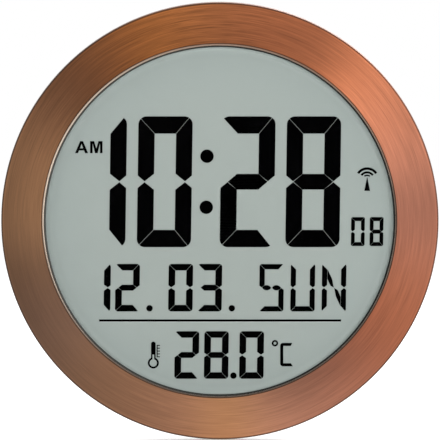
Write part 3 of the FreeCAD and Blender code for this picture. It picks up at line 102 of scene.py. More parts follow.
class Signal:
    """A number, colour or direction inside a finish, held as the socket that gives it."""

    __add__, __radd__ = operator("ADD"), operator("ADD", reflected=True)
    __sub__, __rsub__ = operator("SUBTRACT"), operator("SUBTRACT", reflected=True)
    __mul__, __rmul__ = operator("MULTIPLY"), operator("MULTIPLY", reflected=True)
    __truediv__, __pow__, __mod__ = operator("DIVIDE"), operator("POWER"), operator("MODULO")
    __lt__, __gt__ = operator("LESS_THAN"), operator("GREATER_THAN")
    fold = operator("PINGPONG")

    def __init__(self, finish, socket):
        self.finish, self.socket = finish, socket

    def math(self, operation, first, second=None):
        inputs = {0: first} if second is None else {0: first, 1: second}
        return self.finish.node("ShaderNodeMath", {"operation": operation}, inputs)

    def __abs__(self):
        return self.math("ABSOLUTE", self)

    def part(self, index):
        """One of a direction's three numbers."""
        return self.finish.node("ShaderNodeSeparateXYZ", {}, {0: self}, index)


class Finish:
    """One surface finish: a material with its Principled shader and the nodes that vary it."""

    def __init__(self, name, colour, roughness, metallic=0.0, shine=0.5):
        self.material = bpy.data.materials.new(name)
        self.material.use_nodes = True
        self.tree = self.material.node_tree
        self.shader = self.tree.nodes["Principled BSDF"]
        self.output = self.tree.nodes["Material Output"]
        self.set("Base Color", (*colour, 1))
        self.set("Roughness", roughness)
        self.set("Metallic", metallic)
        self.set("Specular IOR Level", shine)

    def join(self, value, socket):
        if isinstance(value, Signal):
            self.tree.links.new(value.socket, socket)
        else:
            socket.default_value = value

    def set(self, name, value):
        self.join(value, self.shader.inputs[name])

    def node(self, kind, settings, inputs, output=0):
        made = self.tree.nodes.new(kind)
        for name, value in settings.items():
            setattr(made, name, value)
        for name, value in inputs.items():
            self.join(value, made.inputs[name])
        return Signal(self, made.outputs[output])

    def mix(self, share, first, second):
        """A colour between two, by a share."""
        first, second = ((*c, 1) if isinstance(c, tuple) else c for c in (first, second))
        settings = {"data_type": "RGBA", "clamp_factor": True}
        return self.node("ShaderNodeMix", settings, {0: share, 6: first, 7: second}, 2)

    def tint(self, colour, level):
        """A colour made darker or lighter by a number."""
        return self.node("ShaderNodeVectorMath", {"operation": "SCALE"}, {0: colour, 3: level})

    def place(self, centre=(0, 0, 0), scale=(1, 1, 1)):
        """Object coordinates in metres from a centre, stretched along each axis."""
        spot = self.node("ShaderNodeTexCoord", {}, {}, 3)
        shift = [-c * s for c, s in zip(centre, scale)]
        return self.node("ShaderNodeMapping", {}, {0: spot, 1: shift, 3: scale})

    def noise(self, spot, scale, detail=2.0, rough=0.5):
        inputs = {"Vector": spot, "Scale": scale, "Detail": detail, "Roughness": rough}
        return self.node("ShaderNodeTexNoise", {}, inputs)

    def mottle(self, scale, first, second):
        """A base colour that drifts between two."""
        self.set("Base Color", self.mix(self.noise(self.place(), scale), first, second))

    def speckle(self, scale, colour, least, swing, detail=2.0):
        """A base colour with lighter and darker specks."""
        specks = self.noise(self.place(), scale, detail)
        self.set("Base Color", self.tint(colour, least + swing * specks))

    def rub(self, scale, least, swing, detail=2.0):
        """A roughness that is uneven, as if from wear."""
        self.set("Roughness", least + swing * self.noise(self.place(), scale, detail))

    def ramp(self, value, low, high):
        """0 where the value is at or below low, 1 at high and above, and smooth between."""
        settings = {"interpolation_type": "SMOOTHSTEP"}
        return self.node("ShaderNodeMapRange", settings, {0: value, 1: low, 2: high})

    def bump(self, height, distance, strength=1.0):
        """Relief as deep as distance where height goes from 0 to 1."""
        inputs = {"Strength": strength, "Distance": distance, "Height": height}
        self.set("Normal", self.node("ShaderNodeBump", {}, inputs))


def see(finish):
    """1 for rays from the camera, or for those that metal and glass send on, else 0."""
    rays = finish.node("ShaderNodeLightPath", {}, {})
    outputs = rays.socket.node.outputs
    camera_ray, glossy, through = (
        Signal(finish, outputs[name])
        for name in ("Is Camera Ray", "Is Glossy Ray", "Is Transmission Ray"))
    return rays.math("MAXIMUM", rays.math("MAXIMUM", camera_ray, glossy), through)


class Surround(Finish):
    """The white space round the clock, plain for the eye and softer as a light."""

    def __init__(self, name, seen, cast):
        self.material = bpy.data.worlds.new(name)
        self.material.use_nodes = True
        self.tree = self.material.node_tree
        shader = self.tree.nodes["Background"]
        share = see(self)
        self.join((1.0, 1.0, 1.0, 1.0), shader.inputs["Color"])
        self.join(cast + share * (seen - cast), shader.inputs["Strength"])
        bpy.context.scene.world = self.material


Surround("white_studio", 1.0, 0.62)


def lamp(name, across, out, up, width, power):
    """A square softbox that faces the dial from a place across, out and up from it."""
    light = bpy.data.lights.new(name, "AREA")
    light.size, light.energy = width, power
    holder = bpy.data.objects.new(name, light)
    holder.location = dial + Vector((across, -out, up))
    holder.rotation_mode = "QUATERNION"
    holder.rotation_quaternion = (dial - holder.location).to_track_quat("-Z", "Y")
    bpy.context.scene.collection.objects.link(holder)


lamp("key_right", 0.75, 1.3, 0.22, 0.7, 8.0)
lamp("fill_left", -0.9, 1.1, 0.1, 0.8, 4.0)
lamp("back_fill", 0.5, -1.2, 0.9, 0.9, 14.0)

deselect()
floor_gap, floor_wide, floor_glow = 0.5 * mm, 6, 0.45
bpy.ops.mesh.primitive_plane_add(size=floor_wide, location=(0, 0, cad_box[0][2] - floor_gap))
floor = bpy.context.active_object
floor.name = "pale_floor"
bpy.ops.object.transform_apply()
floor_paint = Finish("pale_floor_paint", (0.86, 0.86, 0.86), 0.7)
floor_paint.mottle(3.0, (0.85, 0.85, 0.85), (0.88, 0.88, 0.88))
floor_paint.set("Emission Color", floor_paint.tint((1.0, 1.0, 1.0), see(floor_paint)))
floor_paint.set("Emission Strength", floor_glow)
floor.data.materials.append(floor_paint.material)


# The ring is one aluminium disc, spun to a shallow cone with a rolled rim, brushed in
# circles and tinted copper, with lobes of lamp light, reflections and shade painted into its
# colour. Its inner lip is then cut to bare metal, a little off centre, with a painted
# highlight and painted shade, and the ring is taped to the frame.
def start_edit():
    bpy.ops.object.mode_set(mode="EDIT")


def end_edit():
    bpy.ops.object.mode_set(mode="OBJECT")


def lathe(name, outline, steps, centre, close="cap", across=False):
    """A turned shape about an axis through the centre, out from the wall or across it.

    The outline has (radius, place) points, with places along the axis and no radius of 0.
    It ends joined to its start ("bridge"), or flat over both ends ("cap").
    """
    deselect()
    radius, place = outline[0]
    axis = Vector((1, 0, 0)) if across else Vector((0, -1, 0))
    bpy.ops.mesh.primitive_circle_add(
        vertices=steps, radius=radius, location=centre + axis * place,
        rotation=(0, math.pi / 2, 0) if across else (math.pi / 2, 0, 0))
    piece = bpy.context.active_object
    piece.name = name
    bpy.ops.object.transform_apply()
    start_edit()
    bpy.ops.mesh.select_all(action="SELECT")
    if close == "cap":
        bpy.ops.mesh.edge_face_add()
    for next_radius, next_place in outline[1:]:
        bpy.ops.mesh.extrude_region_move(
            TRANSFORM_OT_translate={"value": axis * (next_place - place)})
        share = next_radius / radius
        bpy.ops.transform.resize(
            value=(1, share, share) if across else (share, 1, share),
            center_override=centre + axis * next_place)
        radius, place = next_radius, next_place
    if close == "bridge":
        bpy.ops.mesh.select_all(action="DESELECT")
        bpy.ops.mesh.select_non_manifold()
        bpy.ops.mesh.bridge_edge_loops()
    bpy.ops.mesh.select_all(action="SELECT")
    bpy.ops.mesh.remove_doubles(threshold=1e-7)
    bpy.ops.mesh.normals_make_consistent(inside=False)
    end_edit()
    return piece


def bend(centre_radius, centre_place, size, start, end, steps):
    """Points of an arc in an outline. Angles are in degrees, from the way that the axis points."""
    points = []
    for step in range(steps + 1):
        turn = math.radians(start + (end - start) * step / steps)
        points.append((centre_radius + size * math.sin(turn), centre_place + size * math.cos(turn)))
    return points


def pick(piece):
    """Selects this piece alone, so that the next operator acts on it."""
    deselect()
    piece.select_set(True)
    bpy.context.view_layer.objects.active = piece


def smooth(piece, angle=35):
    """Smooth shading that leaves flat faces flat beside their rounded edges."""
    pick(piece)
    bpy.ops.object.shade_smooth_by_angle(angle=math.radians(angle))
    weighted = piece.modifiers.new("flat_faces", "WEIGHTED_NORMAL")
    weighted.keep_sharp = True
    bpy.ops.object.modifier_apply(modifier=weighted.name)


def settle(piece, finish, slot, *nodes, body="housing"):
    """Gives a finished piece its material and its body, and hides the nodes it stands for. Its slot
    is not used.
    """
    piece.data.materials.clear()
    piece.data.materials.append(finish.material)
    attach(piece, body)
    if nodes:
        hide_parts(*nodes)


def turned(name, outline, steps, centre, finish, slot, node, crease=35, **how):
    """A lathed piece that needs no further work, shaded and settled."""
    piece = lathe(name, outline, steps, centre, **how)
    smooth(piece, crease)
    settle(piece, finish, slot, node)


def dress(node, finish):
    """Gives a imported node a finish, and leaves its shape alone."""
    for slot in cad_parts[node].material_slots:
        slot.material = finish.material


ring_front, ring_back = -ring_low.y, -ring_high.y
ring_sheet = 0.8 * mm
rim_corner = 1.3 * mm
throat_radius, throat_depth = 104.35 * mm, 25.4 * mm
lip_outer = 105.36 * mm
lip_crown = (throat_radius + lip_outer) / 2
lip_corner = (lip_outer - throat_radius) / 2
lip_shade = 0.32 * mm
face_inner = 105.82 * mm
face_slope = 0.103
slope_angle = math.degrees(math.atan(face_slope))
groove_deep = 0.35 * mm
throat_shift = Vector((-0.14 * mm, 0, 0.17 * mm))
groove_shift = Vector((-0.34 * mm, 0, 0.37 * mm))


def face_level(radius):
    return ring_front - (radius - face_inner) * face_slope


rim_side = rim_radius - rim_corner
crease_shade_radius, crease_shade_wide = 126.7 * mm, 0.3 * mm
rim_depth = face_level(rim_side) - rim_corner * math.cos(math.radians(slope_angle))


def make_ring_outline():
    """The ring's section, from its back edge over the rim and the face to the throat."""
    across = [face_inner + (rim_side - face_inner) * share for share in (0.75, 0.5, 0.25, 0)]
    inner_edge = face_inner + ring_sheet
    return [
        (rim_radius, ring_back), (rim_radius, ring_back + 3 * mm),
        *bend(rim_side, rim_depth, rim_corner, 90, slope_angle, 8),
        *((radius, face_level(radius)) for radius in across),
        (face_inner - 0.1 * mm, ring_front - groove_deep),
        (lip_outer + 0.1 * mm, ring_front - groove_deep),
        *bend(lip_crown, ring_front - lip_corner - 0.05 * mm, lip_corner, 75, -90, 12),
        (throat_radius, throat_depth), (throat_radius + ring_sheet, throat_depth),
        (inner_edge, face_level(inner_edge) - 1.6 * ring_sheet),
        *bend(rim_side, rim_depth, rim_corner - ring_sheet, slope_angle, 90, 5),
        (rim_radius - ring_sheet, ring_back)]


class DialFinish(Finish):
    """A finish that varies round the dial: cosine and sine are of the angle from the right."""

    def around(self, centre=dial):
        spot = self.place(centre=centre)
        x, z = spot.part(0), spot.part(2)
        radius = (x * x + z * z) ** 0.5
        return x / radius, z / radius, radius


def make_copper():
    """Copper-tinted brushed metal with brush lines and a cut lip, and painted light: lobes of lamp
    light, reflection tints, highlights and shade.
    """
    copper = DialFinish("brushed_copper", (0.35, 0.15, 0.08), 0.42, metallic=0.85)
    cosine, sine, radius = copper.around()

    def towards(angle, tightness):
        """1 where the ring faces that way round the dial, and less to either side."""
        turn = math.radians(angle)
        return (0.5 + 0.5 * (cosine * math.cos(turn) + sine * math.sin(turn))) ** tightness

    # Painted light: each entry is a lobe of lamp light, painted into the base colour at an angle
    # round the ring.
    painted_light_fans = (
        (19, 90, 0.062), (36, 67, 0.114), (49, 119, 0.061), (69, 26, 0.077), (106, 23, 0.095),
        (164, 18, 0.080), (183, 250, 0.013), (271, 2.3, 0.129), (274, 48, 0.072), (355, 18, 0.064))
    level = 0.005
    for angle, tightness, strength in painted_light_fans:
        level = level + strength * towards(angle, tightness)
    # Painted reflections: these hues, set by angle round the ring, stand in for the surroundings
    # mirrored in the copper.
    rosy, umber = (1.87, 0.78, 0.59), (1.69, 0.85, 0.41)
    orange, gold, coral = (2.24, 0.70, 0.29), (2.17, 0.73, 0.19), (2.20, 0.71, 0.35)
    tan, mauve = (1.77, 0.83, 0.39), (1.63, 0.86, 0.53)
    tone = copper.mix(0.59 - 0.41 * cosine, rosy, umber)
    for angle, tightness, colour in (
            (72, 4, orange), (111, 20, gold), (331, 20, coral), (271, 107, tan), (212, 32, mauve)):
        tone = copper.mix(towards(angle, tightness), tone, colour)

    depth = 0 - copper.place().part(1)

    def brushed(turns, close, detail, rough, scale=1.0):
        """Marks round the ring, shorter where turns is higher and finer where close is."""
        spot = copper.node("ShaderNodeCombineXYZ", {}, {
            0: cosine * turns, 1: sine * turns, 2: (radius - depth) * close})
        return copper.noise(spot, scale, detail, rough)

    bands = brushed(2, 500, 3.0, 0.7, scale=1.2)
    lines = brushed(4, 1400, 2.0, 0.6)
    hair = brushed(10, 2600, 3.0, 0.6)
    # Painted light: how strongly the brush lines show, and how the face lightens or darkens from
    # lip to rim, change round the ring.
    painted_streak_sheen = 0.62 + 0.8 * towards(97, 25) + 0.12 * towards(35, 30) - 0.25 * towards(210, 12)
    streaks = 0.45 * (bands - 0.5) + 1.1 * (lines - 0.5) + 0.6 * (hair - 0.5)
    across = copper.ramp(radius, face_inner, rim_side)
    painted_slope_light = 0.33 * towards(190, 6) + 0.16 * towards(28, 30)
    painted_slope_light = painted_slope_light - 0.42 * towards(298, 26) - 0.14 * towards(95, 8)
    level = level * (1 + painted_streak_sheen * streaks) * (1 + painted_slope_light * (0.5 - across))
    # Painted shade in a thin crease line near the rim, and a painted highlight where the rim starts
    # to roll.
    crease = copper.ramp(radius, crease_shade_radius - crease_shade_wide, crease_shade_radius)
    crease = crease - copper.ramp(radius, crease_shade_radius, crease_shade_radius + crease_shade_wide)
    shine = copper.ramp(radius, rim_side - 0.5 * mm, rim_side)
    shine = shine - copper.ramp(radius, rim_side, rim_side + 0.3 * mm)
    level = level * (1 - 0.12 * crease + 0.2 * shine)
    colour = copper.tint(tone, level)

    groove_radius = copper.around(dial + groove_shift)[2]
    cut = groove_radius < lip_outer
    groove = (groove_radius < face_inner) - cut
    # The cut lip is bare metal, with a painted highlight brightest towards the left and painted
    # shade along the throat's edge.
    lip_metal_and_painted_light = copper.mix(towards(85, 4), (0.13, 0.10, 0.08), (0.23, 0.15, 0.11))
    lip_metal_and_painted_light = copper.mix(towards(155, 6), lip_metal_and_painted_light, (0.50, 0.41, 0.33))
    shaded = copper.around(dial + throat_shift)[2] < throat_radius - lip_shade * cosine
    lip_metal_and_painted_light = copper.mix(shaded, lip_metal_and_painted_light, (0.06, 0.05, 0.042))
    colour = copper.mix(cut, colour, lip_metal_and_painted_light)
    # Painted shade in the groove, lightest towards the top and the lower left.
    groove_painted_shade = groove * (0.9 - 0.3 * towards(75, 4) - 0.2 * towards(215, 4))
    colour = copper.mix(groove_painted_shade, colour, (0.035, 0.016, 0.008))
    # Painted shade over the rim's roll, weaker towards the right.
    rim_painted_shade = copper.ramp(radius, rim_radius - 1.2 * mm, rim_radius - 0.5 * mm)
    rim_painted_shade = rim_painted_shade * copper.ramp(depth, rim_depth - 0.1 * mm, rim_depth + 0.3 * mm)
    rim_painted_shade = rim_painted_shade * (0.7 - 0.5 * towards(15, 12))
    colour = copper.mix(rim_painted_shade, colour, (0.04, 0.02, 0.012))
    copper.set("Base Color", colour)
    copper.set("Roughness", (0.36 + 0.14 * hair) * (1 - 0.35 * cut))
    copper.bump(0.6 * hair + 0.4 * bands, 0.012 * mm, 0.7)
    return copper


ring = lathe("copper_ring", make_ring_outline(), 400, dial, close="bridge")
pick(ring)
spans = [math.hypot(corner.co.x, corner.co.z - dial.z) for corner in ring.data.vertices]
margin = 0.1 * mm
for nearest, farthest, shift in (
        (0, lip_crown - margin, throat_shift),
        (lip_crown - margin, lip_crown + margin, (throat_shift + groove_shift) / 2),
        (lip_crown + margin, face_inner + margin, groove_shift)):
    start_edit()
    bpy.ops.mesh.select_all(action="DESELECT")
    end_edit()
    for corner, span in zip(ring.data.vertices, spans):
        corner.select = nearest <= span < farthest
    start_edit()
    bpy.ops.transform.translate(value=shift)
    end_edit()
smooth(ring)
copper = make_copper()
settle(ring, copper, "copper_ring", "bezel_ring")


# A foam tape with adhesive on both sides bonds the ring to the frame, and a foam gasket
# lies between the ring and the window. Both are die-cut and black. The gasket shows as a thin
# line inside the lip, with painted light that greys it where its cut edge faces the brightest lamp.
def make_foam(name, colour, cell_size, depth):
    foam = Finish(name, colour, 0.92, shine=0.2)
    spot = foam.place()
    cells = foam.node(
        "ShaderNodeTexVoronoi", {"feature": "F1"}, {"Vector": spot, "Scale": 1 / cell_size})
    mottle = foam.noise(spot, 90.0)
    foam.set("Base Color", foam.tint(colour, 0.7 + 0.5 * cells * mottle + 0.25 * mottle))
    foam.bump(cells, depth)
    return foam


def bulge(inner, outer, back, front, out=0.12 * mm):
    """The section of a flat ring whose edges bulge a little where it is pressed.

    back and front give its depths at a radius.
    """
    middle_in = (back(inner) + front(inner)) / 2
    middle_out = (back(outer) + front(outer)) / 2
    return [
        (inner, back(inner)), (inner - out, middle_in), (inner, front(inner)),
        (outer, front(outer)), (outer + out, middle_out), (outer, back(outer))]


tape_inner, tape_outer, tape_thick = 114.12 * mm, 125.88 * mm, 0.3 * mm
front_glue, back_glue = 0.05 * mm, 0.02 * mm
turned(
    "adhesive_ring",
    bulge(tape_inner, tape_outer,
          lambda radius: face_level(radius) - ring_sheet - tape_thick - back_glue,
          lambda radius: face_level(radius) - ring_sheet - front_glue),
    240, dial, make_foam("adhesive_foam", (0.03, 0.03, 0.03), 0.6 * mm, 0.1 * mm),
    "foam_tape", "bezel_tape", 60, close="bridge")
gasket_inner, gasket_outer = 103.46 * mm, 107.6 * mm
gasket_shift = Vector((-0.12 * mm, 0, 0.2 * mm))
lens_front = -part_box("window_lens")[0].y
gasket_black, gasket_painted_light_grey = (0.016, 0.018, 0.016), (0.10, 0.10, 0.09)
gasket_foam = make_foam("gasket_foam", gasket_black, 0.5 * mm, 0.08 * mm)
# Painted light: the gasket turns grey towards the left, where its cut edge faces the brightest
# lamp.
painted_light_side = 0.5 - gasket_foam.place(centre=dial).part(0) / (2 * gasket_inner)
gasket_foam.set("Base Color", gasket_foam.mix(painted_light_side ** 2, gasket_black, gasket_painted_light_grey))
turned(
    "gasket_ring",
    bulge(gasket_inner, gasket_outer, lambda radius: lens_front, lambda radius: throat_depth),
    240, dial + gasket_shift, gasket_foam, "gasket_foam", "window_gasket", 60, close="bridge")


# The window is a flat disc of clear acrylic, laser-cut, with a coating against glare. It
# mirrors its surroundings only where it is seen at a low angle.
def make_clear(name, edge_tint, most):
    clear = Finish(name, edge_tint, 0.05)
    facing = clear.node("ShaderNodeLayerWeight", {}, {0: 0.5}, 1)
    through = clear.node("ShaderNodeBsdfTransparent", {}, {0: (1, 1, 1, 1)})
    streaks = clear.noise(clear.place(), 18.0)
    mirror = clear.node("ShaderNodeBsdfGlossy", {}, {"Color": (1, 1, 1, 1), "Roughness": 0.04})
    share = most * facing ** 3.5 * (0.94 + 0.12 * streaks)
    shown = clear.node("ShaderNodeMixShader", {}, {0: share, 1: through, 2: mirror})
    clear.join(shown, clear.output.inputs["Surface"])
    return clear


dress("window_lens", make_clear("clear_acrylic", (0.9, 0.92, 0.91), 0.6))


# The frame that holds window, display and case is moulded in black plastic with a fine
# spark-eroded texture. Only its lip shows, as a dark band behind the ring.
def make_moulded(name, colour, grain=0.35 * mm, relief=0.02 * mm, shine=0.45):
    """Moulded plastic: spark-eroded grain, slight flow marks and a little dust."""
    plastic = Finish(name, colour, 0.5, shine=shine)
    spot = plastic.place()
    grit = plastic.noise(spot, 1 / grain, detail=2.0, rough=0.7)
    flow = plastic.noise(spot, 14.0, detail=3.0)
    dust = plastic.noise(spot, 55.0, detail=4.0, rough=0.7)
    plastic.set("Base Color", plastic.tint(colour, 0.35 + 0.8 * grit + 0.25 * flow + 0.25 * dust))
    plastic.set("Roughness", 0.3 + 0.3 * grit + 0.12 * flow)
    plastic.bump(grit, relief)
    return plastic


black_plastic = make_moulded("black_frame_plastic", (0.018, 0.018, 0.019))
dress("front_frame", black_plastic)


# The display is two panes of glass with the liquid crystal between them, a matt polariser
# in front, and a grey-green reflector bonded to the back, which gives the pane its tone.
def make_display_tone():
    """The reflector's satin grey-green, cooler towards the edge, with painted light close to the
    edge.
    """
    tone = DialFinish("display_grey", (0.37, 0.42, 0.39), 0.55, shine=0.15)
    cosine, sine, radius = tone.around()
    edge = tone.ramp(radius, 60 * mm, throat_radius)
    colour = tone.mix(edge, (0.360, 0.404, 0.380), (0.344, 0.392, 0.372))
    # Painted light lifts the tone close to the edge, against the ring's shade, most towards the
    # right.
    rim = tone.ramp(radius, 101 * mm, 102.5 * mm)
    painted_edge_light = 0.2 * tone.ramp(radius, 98 * mm, throat_radius - 1 * mm)
    painted_edge_light = painted_edge_light + (0.11 + 0.07 * cosine + 0.04 * sine) * rim
    colour = tone.tint(colour, 1 + painted_edge_light)
    grain = tone.noise(tone.place(), 1400.0)
    cloud = tone.noise(tone.place(), 9.0)
    tone.set("Base Color", tone.tint(colour, 0.95 + 0.05 * grain + 0.05 * cloud))
    tone.set("Roughness", 0.5 + 0.15 * grain)
    return tone


dress("lcd_front_polariser", make_clear("polariser_film", (0.7, 0.74, 0.71), 0.25))
dress("lcd_front_glass", make_clear("display_glass", (0.75, 0.85, 0.8), 0.1))
display_tone = make_display_tone()
dress("lcd_rear_glass", display_tone)
dress("lcd_rear_reflector", display_tone)

seal = Finish("seal_resin", (0.3, 0.32, 0.3), 0.35)
seal.mottle(120.0, (0.25, 0.27, 0.25), (0.36, 0.38, 0.35))
dress("lcd_edge_seal", seal)


# Where the crystal is driven it turns black. Each stroke is a very thin dark layer between
# the panes, with the slight bluish cast that polarised light leaves in it.
ink = Finish("driven_crystal", (0.002, 0.002, 0.002), 0.9, shine=0.0)
ink.mottle(60.0, (0.0008, 0.0008, 0.0009), (0.0014, 0.0014, 0.0016))
for strokes in ("time_digits", "seconds_digits", "date_digits", "weekday_letters",
                "temperature_digits", "display_symbols"):
    dress(strokes, ink)


# A foam pad presses the glass forward, and the carrier plate behind it is moulded in grey
# plastic. Four screws hold the carrier to the frame's short posts.
def soften(node, name, finish, slot, width=0.2 * mm, deepest=1.0, crease=30, body="housing"):
    """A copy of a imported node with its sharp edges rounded, which then stands for the node.

    Only edges nearer to the wall than deepest are rounded.
    """
    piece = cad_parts[node].copy()
    piece.data = piece.data.copy()
    piece.name = name
    piece.parent = None
    bpy.context.scene.collection.objects.link(piece)
    pick(piece)
    start_edit()
    bpy.ops.mesh.select_all(action="SELECT")
    bpy.ops.mesh.remove_doubles(threshold=1e-6)
    bpy.ops.mesh.dissolve_limited(angle_limit=math.radians(0.5))
    bpy.ops.mesh.customdata_custom_splitnormals_clear()
    bpy.ops.mesh.select_mode(type="EDGE")
    bpy.ops.mesh.select_all(action="DESELECT")
    bpy.ops.mesh.edges_select_sharp(sharpness=math.radians(crease))
    end_edit()
    corners = piece.data.vertices
    for edge in piece.data.edges:
        start, end = (corners[index].co for index in edge.vertices)
        if edge.select and max(-start.y, -end.y) > deepest:
            edge.select = False
    start_edit()
    bpy.ops.mesh.bevel(offset=width, segments=2, affect="EDGES", clamp_overlap=False)
    bpy.ops.mesh.select_all(action="SELECT")
    bpy.ops.mesh.remove_doubles(threshold=1e-7)
    end_edit()
    smooth(piece)
    settle(piece, finish, slot, node, body=body)
    return piece


soften("lcd_foam_pad", "pressure_pad", make_foam("pad_foam", (0.62, 0.62, 0.6), 0.7 * mm, 0.1 * mm),
       "white_foam")
carrier_grey = make_moulded("carrier_plastic", (0.30, 0.31, 0.32))
soften("display_carrier", "display_tray", carrier_grey, "carrier_plastic")


def brushed_steel(name, colour, roughness, grain=(1, 1, 1), scale=900):
    """Plated steel with drawing marks along one way and faint stains."""
    steel = Finish(name, colour, roughness, metallic=1.0)
    marks = steel.noise(steel.place(scale=grain), scale, detail=3.0, rough=0.6)
    stains = steel.noise(steel.place(), 140.0, detail=4.0)
    steel.set("Base Color", steel.tint(colour, 0.78 + 0.22 * marks + 0.2 * stains))
    steel.set("Roughness", roughness - 0.08 + 0.16 * marks + 0.08 * stains)
    steel.bump(marks, 0.01 * mm)
    return steel


screw_zinc = brushed_steel("zinc_plated_screw", (0.52, 0.53, 0.55), 0.34)


def dial_spot(across, height, depth=0):
    """A point by its place on the dial and its distance from the wall."""
    return Vector((across, -depth, dial.z + height))


def copy_by(piece, shift, name=None):
    """A copy with a mesh of its own, moved by a shift."""
    pick(piece)
    bpy.ops.object.duplicate()
    copy = bpy.context.active_object
    copy.name = name or piece.name
    bpy.ops.transform.translate(value=shift)
    bpy.ops.object.transform_apply()
    return copy


def join(pieces):
    """One piece out of several, under the first one's name."""
    deselect()
    for piece in pieces:
        piece.select_set(True)
    bpy.context.view_layer.objects.active = pieces[0]
    bpy.ops.object.join()
    return pieces[0]


def block(name, size, middle, rotation=(0, 0, 0)):
    """A plain box about its middle."""
    deselect()
    bpy.ops.mesh.primitive_cube_add(size=1, scale=size, location=middle, rotation=rotation)
    piece = bpy.context.active_object
    piece.name = name
    bpy.ops.object.transform_apply()
    return piece


def make_screws(name, node, spots, size, seat, tip, sunk=False):
    """Self-tapping screws with a domed or sunk head, a cross recess and a thread.

    spots are (across, height) places on the dial. size has the head's radius and height,
    and the shank's radius. seat and tip are the depths of the head's foot and of the point.
    """
    head, head_high, shank = size
    top = seat - head_high
    cross_wide = 0.28 * head
    if sunk:
        outline = [(head * 0.02, top), (head * 0.96, top), (head, top + 0.06 * mm), (shank, seat)]
    else:
        dome = bend(head * 0.35, top + head_high * 0.62, head * 0.65, 180, 90, 6)[1:]
        outline = [(head * 0.02, top), *((radius, max(place, top)) for radius, place in dome),
                   (head, seat - 0.02 * mm), (shank, seat)]
    pitch = 0.55 * mm
    root = shank * 0.78
    for turn in range(int((tip - seat) / pitch) - 1):
        start = seat + pitch * (turn + 0.5)
        outline += [(root, start), (shank, start + pitch * 0.5)]
    outline += [(root, tip - pitch), (shank * 0.3, tip)]
    across, height = spots[0]
    centre = dial_spot(across, height)
    screw = lathe(name, outline, 28, centre)
    for turn in (0, math.pi / 2):
        blade = block("blade", (cross_wide, 2 * cross_wide, head * 1.25),
                      centre + Vector((0, -top, 0)), (0, turn + math.pi / 4, 0))
        pick(screw)
        recess = screw.modifiers.new("recess", "BOOLEAN")
        recess.operation, recess.object = "DIFFERENCE", blade
        bpy.ops.object.modifier_apply(modifier=recess.name)
        bpy.data.objects.remove(blade)
    smooth(screw, 40)
    join([screw] + [copy_by(screw, (x - across, 0, z - height)) for x, z in spots[1:]])
    settle(screw, screw_zinc, "screw_steel", node)


def round_the_dial(radius, angles):
    """(across, height) places at angles round the dial."""
    turns = [math.radians(angle) for angle in angles]
    return [(radius * math.cos(turn), radius * math.sin(turn)) for turn in turns]


post_circle = 114.3 * mm
post_screw = (2.3 * mm, 1.6 * mm, 1.1 * mm)
carrier_back, carrier_tip = 17.05 * mm, 21.5 * mm
make_screws("tray_screws", "carrier_screws", round_the_dial(post_circle, (45, 135, 225, 315)),
            post_screw, carrier_back, carrier_tip)


# The zebra strip is silicone rubber in thin layers, black ones that conduct and pale ones
# that do not. It is squeezed between the glass ledge and the board.
zebra = Finish("zebra_rubber", (0.5, 0.47, 0.45), 0.55)
layer_pitch = 0.5 * mm
black_layer = zebra.place().part(0).fold(layer_pitch / 2) > layer_pitch / 4
zebra.set("Base Color", zebra.mix(black_layer, (0.60, 0.42, 0.40), (0.02, 0.02, 0.02)))
zebra.bump(black_layer, 0.02 * mm)
soften("zebra_strip", "zebra_rubber_strip", zebra, "zebra_rubber", width=0.15 * mm)


# The main board is glass-fibre laminate with green solder mask over copper tracks. It hangs
# on four screws behind the tray and bears the clock chip under a drop of black resin.
track_pitch = 0.6 * mm


def make_board(name, mask, track):
    """Solder mask with tracks in two directions and round pads."""
    board = Finish(name, mask, 0.38)
    spot = board.place()
    patches, shades = (
        board.node("ShaderNodeTexVoronoi", {"feature": "F1", "distance": "CHEBYCHEV"}, {
            "Vector": spot, "Scale": 75.0}, output)
        for output in (0, 1))
    along, up = (spot.part(axis).fold(track_pitch) > track_pitch / 2 for axis in (0, 2))
    lengthways = shades.part(0) > 0.5
    stripe = lengthways * along + (1 - lengthways) * up
    wired = stripe * (shades.part(1) > 0.45)
    dots = board.node("ShaderNodeTexVoronoi", {"feature": "F1"}, {
        "Vector": spot, "Scale": 190.0, "Randomness": 0.35})
    pads = (dots < 0.17) * (shades.part(2) > 0.72)
    colour = board.mix(wired, mask, track)
    colour = board.mix(pads, colour, (0.62, 0.60, 0.55))
    board.set("Base Color", board.tint(colour, 0.85 + 0.3 * board.noise(spot, 160.0)))
    board.set("Roughness", 0.34 + 0.12 * patches - 0.08 * pads)
    board.set("Metallic", 0.8 * pads)
    board.bump(wired + pads, 0.03 * mm)
    return board


green_board = make_board("green_laminate", (0.012, 0.10, 0.045), (0.03, 0.19, 0.08))
soften("main_board", "clock_board", green_board, "board_laminate", width=0.1 * mm)
board_back, board_tip = 13.45 * mm, 18.4 * mm
board_screw = (1.9 * mm, 1.3 * mm, 0.9 * mm)
make_screws("board_fixings", "board_screws",
            [(side * 50 * mm, height * mm) for side in (-1, 1) for height in (-52, -88)],
            board_screw, board_back, board_tip)

resin = Finish("chip_resin", (0.012, 0.012, 0.013), 0.3)
resin.speckle(300.0, (0.012, 0.012, 0.013), 0.8, 0.5)
resin.rub(90.0, 0.22, 0.2)
drop_outline = [(radius * mm, board_back - high * mm) for radius, high in (
    (0.05, 1.5), (3.2, 1.42), (5.9, 1.18), (7.8, 0.75), (8.8, 0.28), (9.05, 0))]
turned("resin_drop", drop_outline, 72, dial_spot(0, -84 * mm), resin, "chip_resin",
       "clock_chip", 60)


# The quartz can is a drawn steel tube closed by a crimp, and the two capacitors are
# aluminium cans in a shrunk sleeve with a pale stripe down the negative side.
def measure(node):
    """A node's centre, and half of its size along each axis."""
    low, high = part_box(node)
    return (low + high) / 2, (high - low) / 2


